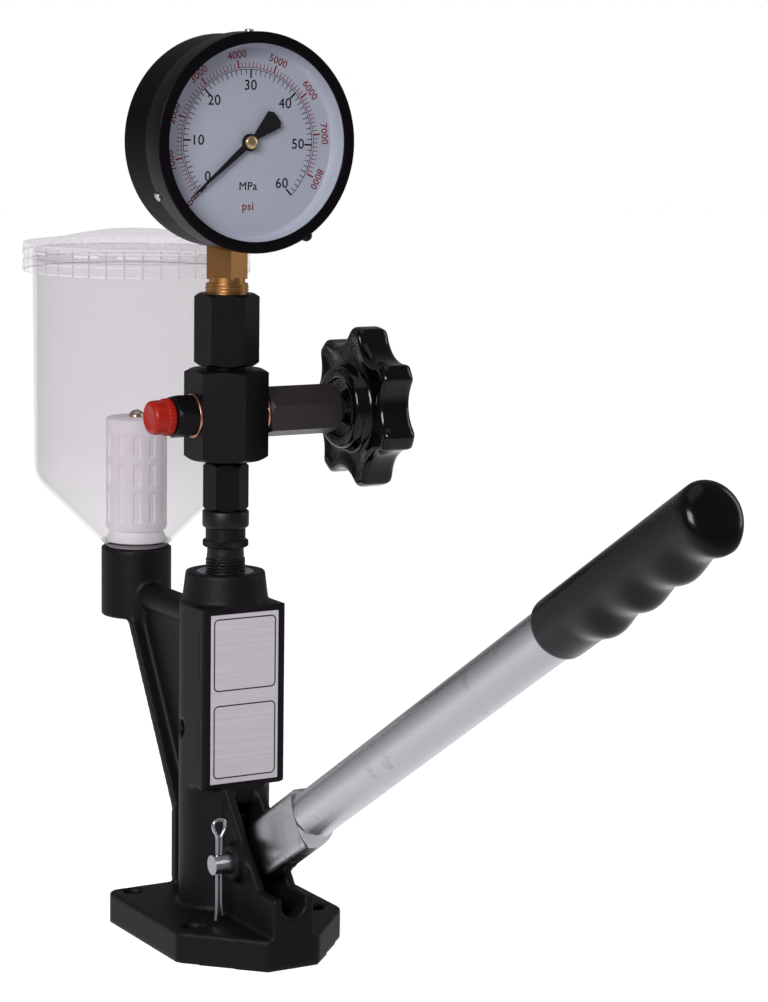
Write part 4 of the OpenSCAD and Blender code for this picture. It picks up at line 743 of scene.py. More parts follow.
def ring_tree():
    """Geometry nodes that put copies of a shape round a circle, each turned to face outwards."""
    tree = bpy.data.node_groups.new("Ring of copies", "GeometryNodeTree")
    tree.interface.new_socket("Geometry", in_out="INPUT", socket_type="NodeSocketGeometry")
    for name, kind in (("Shape", "Object"), ("Count", "Int"), ("Radius", "Float"), ("First angle", "Float"),
                       ("Step angle", "Float"), ("Height", "Float"), ("Finish", "Material")):
        tree.interface.new_socket(name, in_out="INPUT", socket_type="NodeSocket" + kind)
    tree.interface.new_socket("Geometry", in_out="OUTPUT", socket_type="NodeSocketGeometry")
    new = tree.nodes.new
    link = tree.links.new
    given = new("NodeGroupInput").outputs
    line = new("GeometryNodeMeshLine")
    link(given["Count"], line.inputs["Count"])
    index = new("GeometryNodeInputIndex")
    swing = new("ShaderNodeMath")
    swing.operation = "MULTIPLY_ADD"
    link(index.outputs[0], swing.inputs[0])
    link(given["Step angle"], swing.inputs[1])
    link(given["First angle"], swing.inputs[2])
    point = new("ShaderNodeCombineXYZ")
    for axis, how in ((0, "COSINE"), (1, "SINE")):
        wave = new("ShaderNodeMath")
        wave.operation = how
        link(swing.outputs[0], wave.inputs[0])
        reach = new("ShaderNodeMath")
        reach.operation = "MULTIPLY"
        link(wave.outputs[0], reach.inputs[0])
        link(given["Radius"], reach.inputs[1])
        link(reach.outputs[0], point.inputs[axis])
    link(given["Height"], point.inputs[2])
    move = new("GeometryNodeSetPosition")
    link(line.outputs[0], move.inputs["Geometry"])
    link(point.outputs[0], move.inputs["Position"])
    turn = new("ShaderNodeCombineXYZ")
    link(swing.outputs[0], turn.inputs[2])
    shape = new("GeometryNodeObjectInfo")
    shape.inputs["As Instance"].default_value = True
    link(given["Shape"], shape.inputs["Object"])
    copies = new("GeometryNodeInstanceOnPoints")
    link(move.outputs[0], copies.inputs["Points"])
    link(shape.outputs["Geometry"], copies.inputs["Instance"])
    link(turn.outputs[0], copies.inputs["Rotation"])
    real = new("GeometryNodeRealizeInstances")
    link(copies.outputs[0], real.inputs[0])
    coat = new("GeometryNodeSetMaterial")
    link(real.outputs[0], coat.inputs["Geometry"])
    link(given["Finish"], coat.inputs["Material"])
    link(coat.outputs[0], new("NodeGroupOutput").inputs[0])
    return tree


def ring_of(shape, total, radius, first, step, height, finish):
    """Mesh of copies of a shape round a circle, in millimetres and degrees."""
    tree = bpy.data.node_groups.get("Ring of copies") or ring_tree()
    mesh = bpy.data.meshes.new("one_copy")
    bmesh.ops.recalc_face_normals(shape, faces=shape.faces)
    shape.to_mesh(mesh)
    shape.free()
    one = bpy.data.objects.new("one_copy", mesh)
    bpy.context.scene.collection.objects.link(one)
    holder = bpy.data.objects.new("ring_work", bpy.data.meshes.new("ring_work"))
    bpy.context.scene.collection.objects.link(holder)
    modifier = holder.modifiers.new("ring", "NODES")
    modifier.node_group = tree
    values = {"Shape": one, "Count": total, "Radius": float(radius), "First angle": math.radians(first),
              "Step angle": math.radians(step), "Height": float(height), "Finish": FINISHES[finish]}
    for item in tree.interface.items_tree:
        if item.item_type == "SOCKET" and item.in_out == "INPUT" and item.name in values:
            modifier[item.identifier] = values[item.name]
    bpy.context.view_layer.update()
    result = evaluated(holder)
    bpy.data.objects.remove(one)
    bpy.data.meshes.remove(mesh)
    return result


def block(low, high):
    """Small box between two corners."""
    shape = bmesh.new()
    bmesh.ops.create_cube(shape, size=1.0)
    low = Vector(low)
    high = Vector(high)
    for vert in shape.verts:
        vert.co = Vector((low[i] + (vert.co[i] + 0.5) * (high[i] - low[i]) for i in range(3)))
    return shape


def words(text, size, middle, turn, bold):
    """Mesh of a number or unit lying on the dial, in millimetres, made bold by copies beside it."""
    curve = bpy.data.curves.new("print", "FONT")
    curve.body = text
    curve.size = size
    curve.space_character = 1.06
    curve.align_x = "CENTER"
    curve.align_y = "CENTER"
    holder = bpy.data.objects.new("print", curve)
    bpy.context.scene.collection.objects.link(holder)
    bpy.context.view_layer.update()
    thin = evaluated(holder)
    bpy.data.curves.remove(curve)
    copies = []
    for k, (x, y) in enumerate(((0.0, 0.0), (bold, 0.0), (-bold, 0.0), (0.0, bold), (0.0, -bold))):
        copy = thin.copy()
        copy.transform(Matrix.Translation((x, y, 0.003 * k)))
        copies.append(copy)
    bpy.data.meshes.remove(thin)
    where = Matrix.Translation((*middle, 0.0)) @ Matrix.Rotation(math.radians(turn), 4, "Z")
    return joined("print", copies, where)


def joined(name, meshes, where):
    """One mesh from several, put in its place."""
    shape = bmesh.new()
    for mesh in meshes:
        shape.from_mesh(mesh)
        bpy.data.meshes.remove(mesh)
    shape.transform(where)
    for face in shape.faces:
        face.material_index = 0
    mesh = bpy.data.meshes.new(name)
    shape.to_mesh(mesh)
    shape.free()
    return mesh


def thread_rows(low, high, crest, pitch, depth, steps):
    """Rings of a helical thread that fades in and out at its ends."""
    rows = []
    total = max(8, int((high - low) / pitch * 10))
    for k in range(total + 1):
        z = low + (high - low) * k / total
        fade = min(1.0, (z - low) / (0.5 * pitch), (high - z) / (0.5 * pitch))

        def radius(angle, z=z, fade=fade):
            turn = (z / pitch - angle / (2 * math.pi)) % 1.0
            return crest - depth * (1.0 - fade * min(1.0, 2.2 * abs(2 * turn - 1.0)))

        rows.append(circle(radius, z, steps))
    return rows


def toothed(radius, depth, teeth):
    """Radius with rounded teeth round it."""
    return lambda angle: radius - depth * (0.5 - 0.5 * math.cos(teeth * angle)) ** 0.7


# Pieces

class TESTER_OT_casting(bpy.types.Operator):
    """Cast stand with the soft edges of a casting, and the bare label plate on it."""

    bl_idname = "tester.casting"
    bl_label = "Casting and label"

    def execute(self, context):
        holder = copy_of_node("body_casting")
        grid = holder.modifiers.new("grid", "REMESH")
        grid.mode = "VOXEL"
        grid.voxel_size = sizes().cast_grid
        grid.use_smooth_shade = True
        relax = holder.modifiers.new("relax", "SMOOTH")
        relax.factor = 0.5
        relax.iterations = 2
        mesh = evaluated(holder)
        mesh.name = "stand_casting"
        finish_piece("stand_casting", mesh, "stand", ["cast"], ("body_casting",), 0.0)
        mesh.shade_smooth()
        cup_low = 166.0
        cup_reach = 18.6
        cup_lift = 1.4
        cup_ease = 6.0
        for vert in mesh.vertices:
            off = math.hypot(vert.co.x, vert.co.y - TANK_Y * MM)
            if vert.co.z > cup_low * MM and off < cup_reach * MM:
                vert.co.z += cup_lift * MM * min(1.0, (vert.co.z / MM - cup_low) / cup_ease)
        plate = block((-18.0, -21.0, 79.0), (18.0, -20.4, 161.0))
        bmesh.ops.bevel(plate, geom=plate.edges[:], offset=0.12, segments=2, affect="EDGES")
        piece_from("label_plate_bare", plate, UPRIGHT, "stand", ["label"], ("label_plate",),
                   35.0)
        return {"FINISHED"}


class TESTER_OT_pump(bpy.types.Operator):
    """Pump and delivery valve inside the column."""

    bl_idname = "tester.pump"
    bl_label = "Pump inside"

    def spring(self, node, body, joint, coils):
        """A wound spring in the place of its node, on a mesh of its own."""
        low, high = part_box(node)
        length = high[2] - low[2]
        wire = wire_of_spring(frame["nodes"][node])
        coil = (high[0] - low[0]) / 2 - wire
        steps = coils * 28
        sides = 12
        rows = []
        for step in range(steps + 1):
            turn = 2 * math.pi * coils * step / steps
            height = low[2] + wire + (length - 2 * wire) * step / steps
            ring = []
            for side in range(sides):
                around = 2 * math.pi * side / sides
                out = coil + wire * math.cos(around)
                up = height + wire * math.sin(around)
                ring.append(Vector((out * math.cos(turn), out * math.sin(turn), up)))
            rows.append(ring)
        mesh = spring_mesh(rows, node + "_wound")
        piece = finish_piece(node + "_wound", mesh, body, ["spring"], (node,), 60.0)
        travel = next(row["range_m"][1] for row in frame["joints"] if row["name"] == joint)
        1 - travel / length
        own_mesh(piece)

    def execute(self, context):
        for node in ("pump_barrel", "spring_seat", "spring_retainer", "plunger", "tappet",
                     "delivery_valve_seat", "delivery_valve"):
            dress(node, "steel")
        dress("barrel_gasket", "copper")
        self.spring("plunger_spring", "pump_plunger", "plunger_slide", 8)
        self.spring("delivery_valve_spring", "delivery", "delivery_valve_lift", 5)
        return {"FINISHED"}


class TESTER_OT_holder(bpy.types.Operator):
    """Valve holder with its thread, serrated ring and fine grooves."""

    bl_idname = "tester.holder"
    bl_label = "Valve holder"

    def execute(self, context):
        s = sizes()
        steps = 4 * s.ring_teeth
        grooves = 11
        groove_pitch = 0.5
        rows = stack(((8.5, 171.0), (9.4, 172.0), (9.4, 176.6)), steps)
        rows += thread_rows(176.8, 185.2, 9.5, s.thread_pitch / MM, s.thread_depth / MM, steps)
        rows += stack(((9.0, 185.8), (8.8, 187.2), (8.8, 189.8), (9.4, 190.4)), steps)
        for r, depth, z in ((10.5, 0.3, 190.4), (11.0, 0.45, 190.9), (11.0, 0.45, 193.1),
                            (10.5, 0.45, 193.6)):
            rows.append(circle(toothed(r, depth, s.ring_teeth), z, steps))
        rows.append(circle(9.6, 193.7, steps))
        for k in range(grooves):
            z = 194.0 + groove_pitch * k
            rows += stack(((9.6, z), (9.6, z + 0.2), (9.42, z + 0.28), (9.42, z + 0.42)), steps)
        rows += stack(((9.6, 199.7), (10.5, 199.75), (11.1, 200.3), (11.2, 200.6), (11.2, 207.1),
                       (11.05, 207.5), (10.5, 207.9), (6.5, 207.9), (6.5, 218.9), (1.5, 218.9), (1.5, 186.0),
                       (4.2, 186.0), (4.2, 171.0)), steps)
        piece_from("valve_holder_turned", skin(bmesh.new(), rows, True), UPRIGHT, "stand",
                   ["oxide_turned"], ("valve_holder",), 32.0)
        return {"FINISHED"}


class TESTER_OT_hexagons(bpy.types.Operator):
    """Hexagons of the valve head with rubbed edges, and the washers and spindle between them."""

    bl_idname = "tester.hexagons"
    bl_label = "Hexagons and washers"

    def execute(self, context):
        edge = sizes().hex_edge
        nut_turn = 5.3
        for node in ("union_nut", "valve_block", "gauge_nut"):
            piece = softened(node, edge, "stand", ["oxide", "rubbed"])
            if node == "gauge_nut":
                piece.data.transform(Matrix.Rotation(math.radians(nut_turn), 4, "Z"))
        softened("valve_bonnet", edge, "stand", ["oxide_warm", "rubbed"])
        steps = 180
        half_flats = 9.5
        first_flat = 76.0

        def six_sided(most):
            def radius(angle):
                off = (math.degrees(angle) + first_flat) % 60.0 - 30.0
                return min(most, half_flats / math.cos(math.radians(off)))

            return radius

        hexagon = ((9.6, 18.8), (10.7, 19.4), (10.8, 27.4), (10.3, 28.3), (9.7, 29.0), (9.2, 29.4))
        rows = stack(((2.0, 9.6), (6.9, 9.6), (6.9, 18.8), (9.1, 18.8)), steps)
        rows += stack([(six_sided(most), z) for most, z in hexagon], steps)
        rows += stack(((8.6, 29.6), (6.9, 29.6), (6.9, 35.8), (2.0, 35.8)), steps)
        piece_from("outlet_nipple_turned", skin(bmesh.new(), rows, True), OUTLET_SIDE, "stand",
                   ["oxide"], ("outlet_nipple",), 28.0)
        for node in ("outlet_washer", "bonnet_washer"):
            softened(node, sizes().soft_edge, "stand", ["copper"])
        for node, finish in (("gland_nut", "steel"), ("valve_needle", "steel"), ("valve_spindle", "steel"),
                             ("spindle_packing", "packing"), ("gauge_washer", "copper")):
            dress(node, finish)
        return {"FINISHED"}


class TESTER_OT_cap(bpy.types.Operator):
    """Outlet cap with grip notches round its collar."""

    bl_idname = "tester.cap"
    bl_label = "Outlet cap"

    def execute(self, context):
        teeth = sizes().cap_notches
        steps = 6 * teeth
        start = 30.1
        rows = [circle(7.1, 0.0, steps)]
        for r, depth, z in ((8.6, 0.3, 0.0), (8.9, 0.4, 0.35), (8.9, 0.4, 2.9), (8.75, 0.4, 3.3)):
            rows.append(circle(toothed(r, depth, teeth), z, steps))
        rows += stack(((8.3, 3.7), (8.2, 4.0), (8.2, 6.4), (8.1, 8.4), (7.9, 9.3), (7.5, 10.0), (6.8, 10.5),
                       (5.9, 10.7), (5.2, 10.55), (4.9, 10.4), (1.2, 10.3), (0.0, 10.3)), steps)
        inner = stack(((0.0, 7.0), (7.1, 6.8)), steps) + [rows[0]]
        shape = skin(skin(bmesh.new(), rows), inner)
        where = OUTLET_SIDE @ Matrix.Translation((0.0, 0.0, start))
        piece_from("outlet_cap_moulded", shape, where, "cap", ["cap"], ("dust_cap",), 35.0)
        return {"FINISHED"}


class TESTER_OT_knob(bpy.types.Operator):
    """Hand knob with seven lobes, a dished back and a ring boss."""

    bl_idname = "tester.knob"
    bl_label = "Hand knob"

    def execute(self, context):
        lobes = sizes().knob_lobes
        steps = 36 * lobes
        rim = 39.5
        hollow_at = 52.0
        hollow = 20.0
        blend = 2.4
        first = math.radians(7.8)

        def outline(angle):
            gap = 2 * math.pi / lobes
            off = ((angle - first) % gap) - gap / 2
            inside = hollow ** 2 - (hollow_at * math.sin(off)) ** 2
            if inside <= 0.0:
                return rim
            cut = hollow_at * math.cos(off) - math.sqrt(inside)
            mixed = max(0.0, blend - abs(cut - rim)) / blend
            return min(cut, rim) - mixed * mixed * blend * 0.25

        def lobed(inset):
            return lambda angle: outline(angle) - inset

        back = ((4.1, 63.3), (12.9, 63.3), (13.7, 63.0), (14.2, 62.2), (14.4, 61.2), (14.9, 60.5),
                (15.8, 60.15), (17.4, 60.1), (18.9, 60.4), (19.8, 61.2), (20.2, 62.6), (20.5, 64.6),
                (21.0, 66.6), (21.8, 67.8), (22.9, 68.3))
        edge = ((8.5, 68.0), (6.8, 67.4), (5.0, 66.8), (3.8, 66.55), (2.9, 66.55), (2.1, 66.8), (1.35, 67.25),
                (0.75, 67.9), (0.3, 68.7), (0.06, 69.7), (0.0, 70.8), (0.0, 75.0), (0.0, 79.4), (0.08, 80.5),
                (0.35, 81.5), (0.85, 82.4), (1.6, 83.1), (2.5, 83.5), (3.6, 83.7), (5.6, 83.62))
        front = ((22.0, 82.9), (14.0, 82.5), (8.0, 82.4), (7.0, 82.3), (6.6, 82.0), (6.6, 80.65),
                 (2.9, 80.65), (2.9, 80.25), (4.1, 80.25))
        rows = stack(back, steps)
        rows += stack([(lobed(inset), x) for inset, x in edge], steps)
        rows += stack(front, steps)
        piece_from("hand_knob_moulded", skin(bmesh.new(), rows, True), KNOB_SIDE, "knob",
                   ["knob"], ("hand_knob",), 50.0)
        softened("knob_screw", sizes().soft_edge, "knob", ["steel"])
        return {"FINISHED"}


class TESTER_OT_gauge(bpy.types.Operator):
    """Gauge case, bezel, screws, window and the brass socket with its thread."""

    bl_idname = "tester.gauge"
    bl_label = "Gauge case and socket"

    def case(self):
        """Case, pressed bezel with a painted shadow at its seam, and the glass."""
        softened("gauge_case", 0.8 * MM, "stand", ["case"])
        bezel = eased([(48.9, 16.0), (51.0, 16.0, 0.25), (51.0, 17.1), (51.0, 30.9, 0.6), (45.6, 30.9, 0.3),
                       (45.6, 30.0), (48.9, 30.0)])
        lip = piece_from("gauge_bezel_pressed", lathe(bezel, 192), GAUGE_FACE, "stand",
                         ["bezel", "seam"], ("gauge_bezel",), 35.0)
        seam = 17.0
        # Painted shadow: the bezel's back edge takes the dark seam finish, in place of the shadow of its
        # step.
        for face in lip.data.polygons:
            if -seam * MM < face.center.y and face.normal.y < 0.9:
                face.material_index = 1
        glass = lathe([(0.0, 28.9), (46.0, 28.9), (46.0, 29.5), (0.0, 29.5)], 128, False)
        piece_from("gauge_glass", glass, GAUGE_FACE, "stand", ["window"], ("gauge_window",),
                   35.0)

    def screw(self, profile, steps, angle, forward, finish):
        """Screw head that points outwards from the bezel's rim."""
        rim = 50.9
        head = lathe(eased(profile, closed=False), steps, False)
        head.transform(Matrix.Rotation(math.pi / 2, 4, "Y"))
        return ring_of(head, 1, rim, angle, 0.0, forward, finish)

    def screws(self):
        """Three low heads, and the taller black screw at the lower right."""
        low_head = [(0.0, 0.0), (2.2, 0.0), (2.2, 1.0, 0.6), (0.0, 1.3)]
        heads = [self.screw(low_head, 32, angle, 17.5, "steel") for angle in (88.0, 209.0, 330.0)]
        finish_piece("bezel_screw_heads", joined("bezel_screw_heads", heads, GAUGE_FACE), "stand",
                     ["steel"], ("bezel_screws",), 40.0)
        tall_head = [(0.0, 0.0), (2.7, 0.0), (2.7, 1.6, 0.7), (1.5, 2.9, 0.6), (0.0, 3.0)]
        stop = self.screw(tall_head, 40, 302.5, 27.2, "oxide")
        finish_piece("bezel_stop_screw", joined("bezel_stop_screw", [stop], GAUGE_FACE), "stand",
                     ["oxide"], (), 40.0)

    def socket(self):
        """Brass socket with a taller square, and the thread under it."""
        stem = softened("gauge_stem", 0.3 * MM, "stand", ["brass"])
        square_top = (330.3, 331.2)
        square_rise = 3.4
        neck = 6.6
        for vert in stem.data.vertices:
            at_top = square_top[0] * MM < vert.co.z < square_top[1] * MM
            if at_top and math.hypot(vert.co.x, vert.co.y) > neck * MM:
                vert.co.z += square_rise * MM
        low, high = 311.9, 316.3
        turns = 96
        rows = thread_rows(low, high, 10.25, sizes().thread_pitch / MM, 0.8, turns)
        rows += stack(((9.0, high), (9.0, low)), turns)
        piece_from("socket_thread", skin(bmesh.new(), rows, True), UPRIGHT, "stand", ["brass"], (),
                   40.0)

    def execute(self, context):
        self.case()
        self.screws()
        dress("window_gasket", "rubber")
        self.socket()
        return {"FINISHED"}


class TESTER_OT_dial(bpy.types.Operator):
    """Dial with its printed scales, the pointer, and the movement behind."""

    bl_idname = "tester.dial"
    bl_label = "Dial and movement"

    def dish(self, face):
        """Dial plate that turns up into the wall round it."""
        dish = eased([(0.0, face), (43.9, face, 0.6), (45.5, 23.2, 2.0), (46.3, 29.7), (46.8, 29.7),
                      (46.0, 22.8, 2.0), (44.2, 20.0, 0.6), (0.0, 20.0)], closed=False)
        piece_from("gauge_dial_dished", lathe(dish, 192, False), GAUGE_FACE, "stand", ["dial"],
                   ("gauge_dial",), 40.0)

    def printing(self, face):
        """Marks, arcs, numbers and units of the inner black scale and the outer red one."""
        s = sizes()
        lift = s.print_lift / MM
        raised = 1.3 * lift
        minor = s.minor_tick / MM
        major = s.major_tick / MM
        inner = 33.6
        outer = 34.5
        zero = 222.8
        sweep = 270.0
        full_scale = 60.0
        turn = sweep / full_scale
        psi_turn = turn * 6.894757 / 10.0
        arc = 0.75
        black = []
        red = []

        def marks(pile, finish, radius, low, high, half, thick, total, step):
            shape = block((low, -half, 0.0), (high, half, thick))
            pile.append(ring_of(shape, total, radius, zero, -step, face, finish))

        marks(black, "ink", inner, -minor, 0.0, 0.19, lift, 61, turn)
        marks(black, "ink", inner, -minor - 0.5, 0.0, 0.21, lift, 13, 5 * turn)
        marks(black, "ink", inner, -major, 0.0, 0.42, raised, 7, 10 * turn)
        marks(red, "red_ink", outer, 0.0, minor, 0.18, lift, 81, psi_turn)
        marks(red, "red_ink", outer, 0.0, major - 0.2, 0.38, raised, 9, 10 * psi_turn)
        marks(black, "ink", inner, -0.15, 0.15, 0.23, lift, 361, arc)
        marks(red, "red_ink", outer, -0.15, 0.15, 0.235, lift, int(80 * psi_turn / arc) + 1, arc)
        up = Matrix.Translation((0.0, 0.0, face + lift))

        def write(pile, value, size, middle, lean, thick):
            mesh = words(value, size, middle, lean, thick)
            mesh.transform(up)
            pile.append(mesh)

        inner_numbers = 26.2
        outer_numbers = 40.4
        for k in range(7):
            angle = math.radians(zero - 10 * turn * k - (6.0 if k == 0 else 0.0))
            middle = (inner_numbers * math.cos(angle), inner_numbers * math.sin(angle))
            write(black, str(10 * k), 6.6, middle, 0.0, 0.07)
        for k in range(9):
            degrees = zero - 10 * psi_turn * k
            angle = math.radians(degrees)
            middle = (outer_numbers * math.cos(angle), outer_numbers * math.sin(angle))
            write(red, str(1000 * k), 4.8, middle, degrees - 90.0, 0.06)
        write(black, "MPa", 5.4, (0.0, -20.4), 0.0, 0.07)
        write(red, "psi", 5.4, (0.0, -29.6), 0.0, 0.07)
        finish_piece("dial_print_black", joined("dial_print_black", black, GAUGE_FACE), "stand",
                     ["ink"], (), 0.0)
        finish_piece("dial_print_red", joined("dial_print_red", red, GAUGE_FACE), "stand",
                     ["red_ink"], (), 0.0)

    def hand(self):
        """Pointer on its arbor, with a brass dome on the hub."""
        hand = softened("gauge_pointer", 0.15 * MM, "pointer", ["pointer"])
        hand_turn = Matrix.Rotation(math.radians(-5.0), 4, "Z")
        hand.data.transform(GAUGE_FACE @ hand_turn @ GAUGE_FACE.inverted())
        softened("pointer_arbor", 0.12 * MM, "pointer", ["hub_brass"])
        low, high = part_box("pointer_arbor")
        front = -low[1] / MM
        wide = 0.46 * (high[0] - low[0]) / MM
        dome = lathe(eased([(0.0, front - 0.1), (wide, front - 0.1), (wide * 0.96, front + 0.25, 0.2),
                            (wide * 0.6, front + 0.75, 0.6), (0.0, front + 0.9)], closed=False), 48, False)
        piece_from("pointer_hub_dome", dome, GAUGE_FACE, "pointer", ["hub_brass"], (), 40.0)

    def execute(self, context):
        face = 20.6
        self.dish(face)
        self.printing(face)
        self.hand()
        for node in ("sector_gear", "movement_frame", "bourdon_tube", "bourdon_link"):
            dress(node, "brass")
        dress("hairspring", "spring")
        return {"FINISHED"}


class TESTER_OT_tank(bpy.types.Operator):
    """Clear tank, ribbed lid and the filter inside."""

    bl_idname = "tester.tank"
    bl_label = "Tank, lid and filter"

    def tank(self):
        """Clear tank with its cone."""
        profile = eased([(4.3, 171.5), (14.4, 171.5, 0.8), (15.2, 172.6, 0.8), (15.2, 175.6, 0.6),
                         (51.4, 211.6, 6.0), (52.0, 325.4, 0.4), (51.6, 326.0, 0.3), (50.3, 326.0, 0.3),
                         (50.0, 325.4, 0.4), (50.1, 212.3, 5.0), (16.0, 178.4, 0.8), (13.0, 177.4, 0.8),
                         (4.3, 177.4)])
        piece_from("clear_tank", lathe(profile, 192), TANK_AXIS, "stand", ["tank"], ("tank",),
                   40.0)

    def lid(self):
        """Lid with two tiers of ribs, whose inner faces have a finish of their own."""
        ribs = sizes().lid_ribs
        steps = 14 * ribs
        wall = 56.6

        def ribbed(height):
            def radius(angle):
                off = abs(((angle * ribs / (2 * math.pi)) % 1.0) - 0.5)
                return wall + height * min(1.0, max(0.0, (0.09 - off) / 0.05))

            return radius

        dome = [(0.0, 336.7), (8.0, 336.5), (14.0, 336.1), (21.0, 335.2), (28.0, 334.1), (35.0, 332.7),
                (40.0, 331.6, 1.5), (wall, 329.6, 0.5)]
        rows = stack(eased(dome, closed=False), steps)
        for low, high in ((323.0, 328.6), (315.6, 321.8)):
            rows += stack(((wall, high), (ribbed(0.3), high - 0.2), (ribbed(0.4), high - 0.6),
                           (ribbed(0.4), low + 0.4), (ribbed(0.3), low + 0.1), (wall, low)), steps)
            if low > 320.0:
                rows += stack(((56.2, low - 0.3), (56.2, low - 0.9)), steps)
        inside = [(wall, 315.5), (55.2, 315.5, 0.3), (55.2, 326.0, 1.0), (52.4, 327.3, 0.6),
                  (40.0, 329.3, 1.5), (28.0, 331.8), (14.0, 333.8), (0.0, 334.4)]
        rows += stack(eased(inside, closed=False), steps)
        cover = piece_from("tank_lid_ribbed", skin(bmesh.new(), rows), TANK_AXIS, "lid",
                           ["lid", "lid_inner"], ("tank_lid",), 34.0)
        axis = Vector((0.0, TANK_Y * MM, 0.0))
        for face in cover.data.polygons:
            outward = (face.center - axis) * Vector((1.0, 1.0, 0.0))
            under = face.normal.z < -0.3 and face.center.z > 320.0 * MM and outward.length < 55.5 * MM
            if under or face.normal.dot(outward.normalized()) < -0.3:
                face.material_index = 1

    def filter(self):
        """Filter cage with shallow windows, its seat and the bolt through it."""
        turns = 216
        windows = 12
        cage = 15.5
        window_depth = 0.7
        window_half = 1.9
        window_ease = 0.45

        def window(angle):
            off = abs(((angle / (2 * math.pi) * windows + 0.32) % 1.0) - 0.5)
            across = off * 2 * math.pi * cage / windows
            return cage - window_depth * min(1.0, max(0.0, (window_half - across) / window_ease))

        rows = stack(((4.4, 184.0), (13.6, 184.0), (14.9, 184.5), (cage, 186.0)), turns)
        for low, high in ((189.0, 204.5), (208.0, 218.5), (222.0, 233.0)):
            rows += stack(((cage, low), (window, low + 0.5), (window, high - 0.5), (cage, high)), turns)
        rows += stack(((cage, 240.0), (15.2, 240.9), (14.6, 241.3), (2.8, 241.3), (2.8, 239.3), (13.5, 239.3),
                       (13.5, 186.0), (4.4, 186.0)), turns)
        piece_from("filter_cage_moulded", skin(bmesh.new(), rows, True), TANK_AXIS, "stand",
                   ["filter"], ("filter_cage", "filter_mesh"), 35.0)
        seat = eased([(4.4, 178.3), (15.4, 178.3, 0.4), (15.0, 179.8, 0.5), (13.2, 184.0), (4.4, 184.0)])
        piece_from("filter_seat_moulded", lathe(seat, 128), TANK_AXIS, "stand", ["filter"],
                   ("filter_seat",), 35.0)
        bolt = eased([(2.0, 154.6), (4.0, 154.6, 0.4), (4.0, 194.0, 0.4), (2.5, 194.0), (2.5, 241.3),
                      (4.0, 241.3, 0.2), (4.0, 242.2, 0.3), (3.4, 243.6, 1.2), (1.9, 244.8, 1.4),
                      (0.0, 245.2), (0.0, 190.0), (2.0, 190.0)])
        piece_from("filter_bolt_turned", lathe(bolt, 64), TANK_AXIS, "stand", ["bolt_brass"],
                   ("filter_bolt",), 40.0)

    def execute(self, context):
        self.tank()
        self.lid()
        self.filter()
        dress("tank_gasket", "rubber")
        return {"FINISHED"}


class TESTER_OT_lever(bpy.types.Operator):
    """Pressed zinc lever tube with its vinyl grip."""

    bl_idname = "tester.lever"
    bl_label = "Lever and grip"

    def tube(self, steps, tube_end):
        """Tube that is pressed flat at the pivot and swells to a round."""
        flat_end = 58.0
        swell_run = 10.0

        def section(s, inset):
            t = min(1.0, max(0.0, (s - flat_end) / swell_run))
            swell = 1.0 - (1.0 - t) ** 1.5
            wide = 5.5 + 6.0 * swell - inset
            tall = 14.3 - 2.8 * t - inset
            power = 2.0 / (6.0 - 4.0 * min(1.0, 1.4 * t))
            ring = []
            for i in range(steps):
                angle = 2 * math.pi * i / steps
                c = math.cos(angle)
                d = math.sin(angle)
                across = math.copysign(abs(c) ** power, c) * wide
                up = math.copysign(abs(d) ** power, d) * tall + 1.4 - 0.3 * t
                ring.append(Vector((across, up, s)))
            return ring

        along = [10.5, 10.9, 20.0, 40.0, 56.0, 57.6, flat_end]
        along += [flat_end + swell_run * k / 12 for k in range(1, 13)]
        along += [68.6, 80.0, 140.0, 220.0, 300.0, tube_end]
        rows = [section(s, 0.0) for s in along]
        rows[0] = section(along[0], 0.35)
        rows += [section(s, 1.8) for s in reversed(along)]
        piece_from("lever_tube_pressed", skin(bmesh.new(), rows, True), LEVER_LINE, "lever", ["zinc"],
                   ("lever_tube",), 28.0)

    def grip(self, steps, tube_end):
        """Vinyl grip with finger ridges below and a rounded end."""
        ridge = sizes().grip_ridge / MM
        start = 297.5
        end = 416.9
        plain_end = 317.5
        ridge_pitch = 27.0
        middle = 1.1
        bore = 11.55
        outside = 13.6
        end_round = 6.0
        end_steps = 12

        def grip_ring(s, radius, low):
            ring = []
            for i in range(steps):
                angle = 2 * math.pi * i / steps
                drop = low * max(0.0, -math.sin(angle)) ** 1.3
                ring.append(Vector((radius * math.cos(angle), radius * math.sin(angle) + middle - drop, s)))
            return ring

        def low_at(s):
            if s < plain_end:
                return 0.0
            fade = min(1.0, max(0.0, (end - s) / 5.0))
            return ridge * 0.5 * (1.0 - math.cos(2 * math.pi * (s - plain_end) / ridge_pitch)) * fade

        rows = [[Vector((0.0, middle, tube_end))], grip_ring(tube_end, bore, 0.0)]
        for s, radius in ((0.0, bore), (0.0, 12.6), (0.3, 13.1), (1.0, 13.5)):
            rows.append(grip_ring(start + s, radius, 0.0))
        for k in range(110):
            s = start + 2.0 + k * 1.0
            rows.append(grip_ring(s, outside, low_at(s)))
        for k in range(1, end_steps + 1):
            angle = k / end_steps * math.pi / 2
            s = end - end_round + end_round * math.sin(angle)
            radius = outside - 7.0 * (1.0 - math.cos(angle))
            rows.append(grip_ring(s, radius, low_at(s) * math.cos(angle)))
        rows.append(grip_ring(end + 0.1, 3.0, 0.0))
        rows.append([Vector((0.0, middle, end + 0.12))])
        piece_from("lever_grip_vinyl", skin(bmesh.new(), rows), LEVER_LINE, "lever", ["grip"],
                   ("lever_grip",), 60.0)

    def execute(self, context):
        steps = 72
        tube_end = 411.0
        self.tube(steps, tube_end)
        self.grip(steps, tube_end)
        dress("lever_rocker", "oxide")
        return {"FINISHED"}


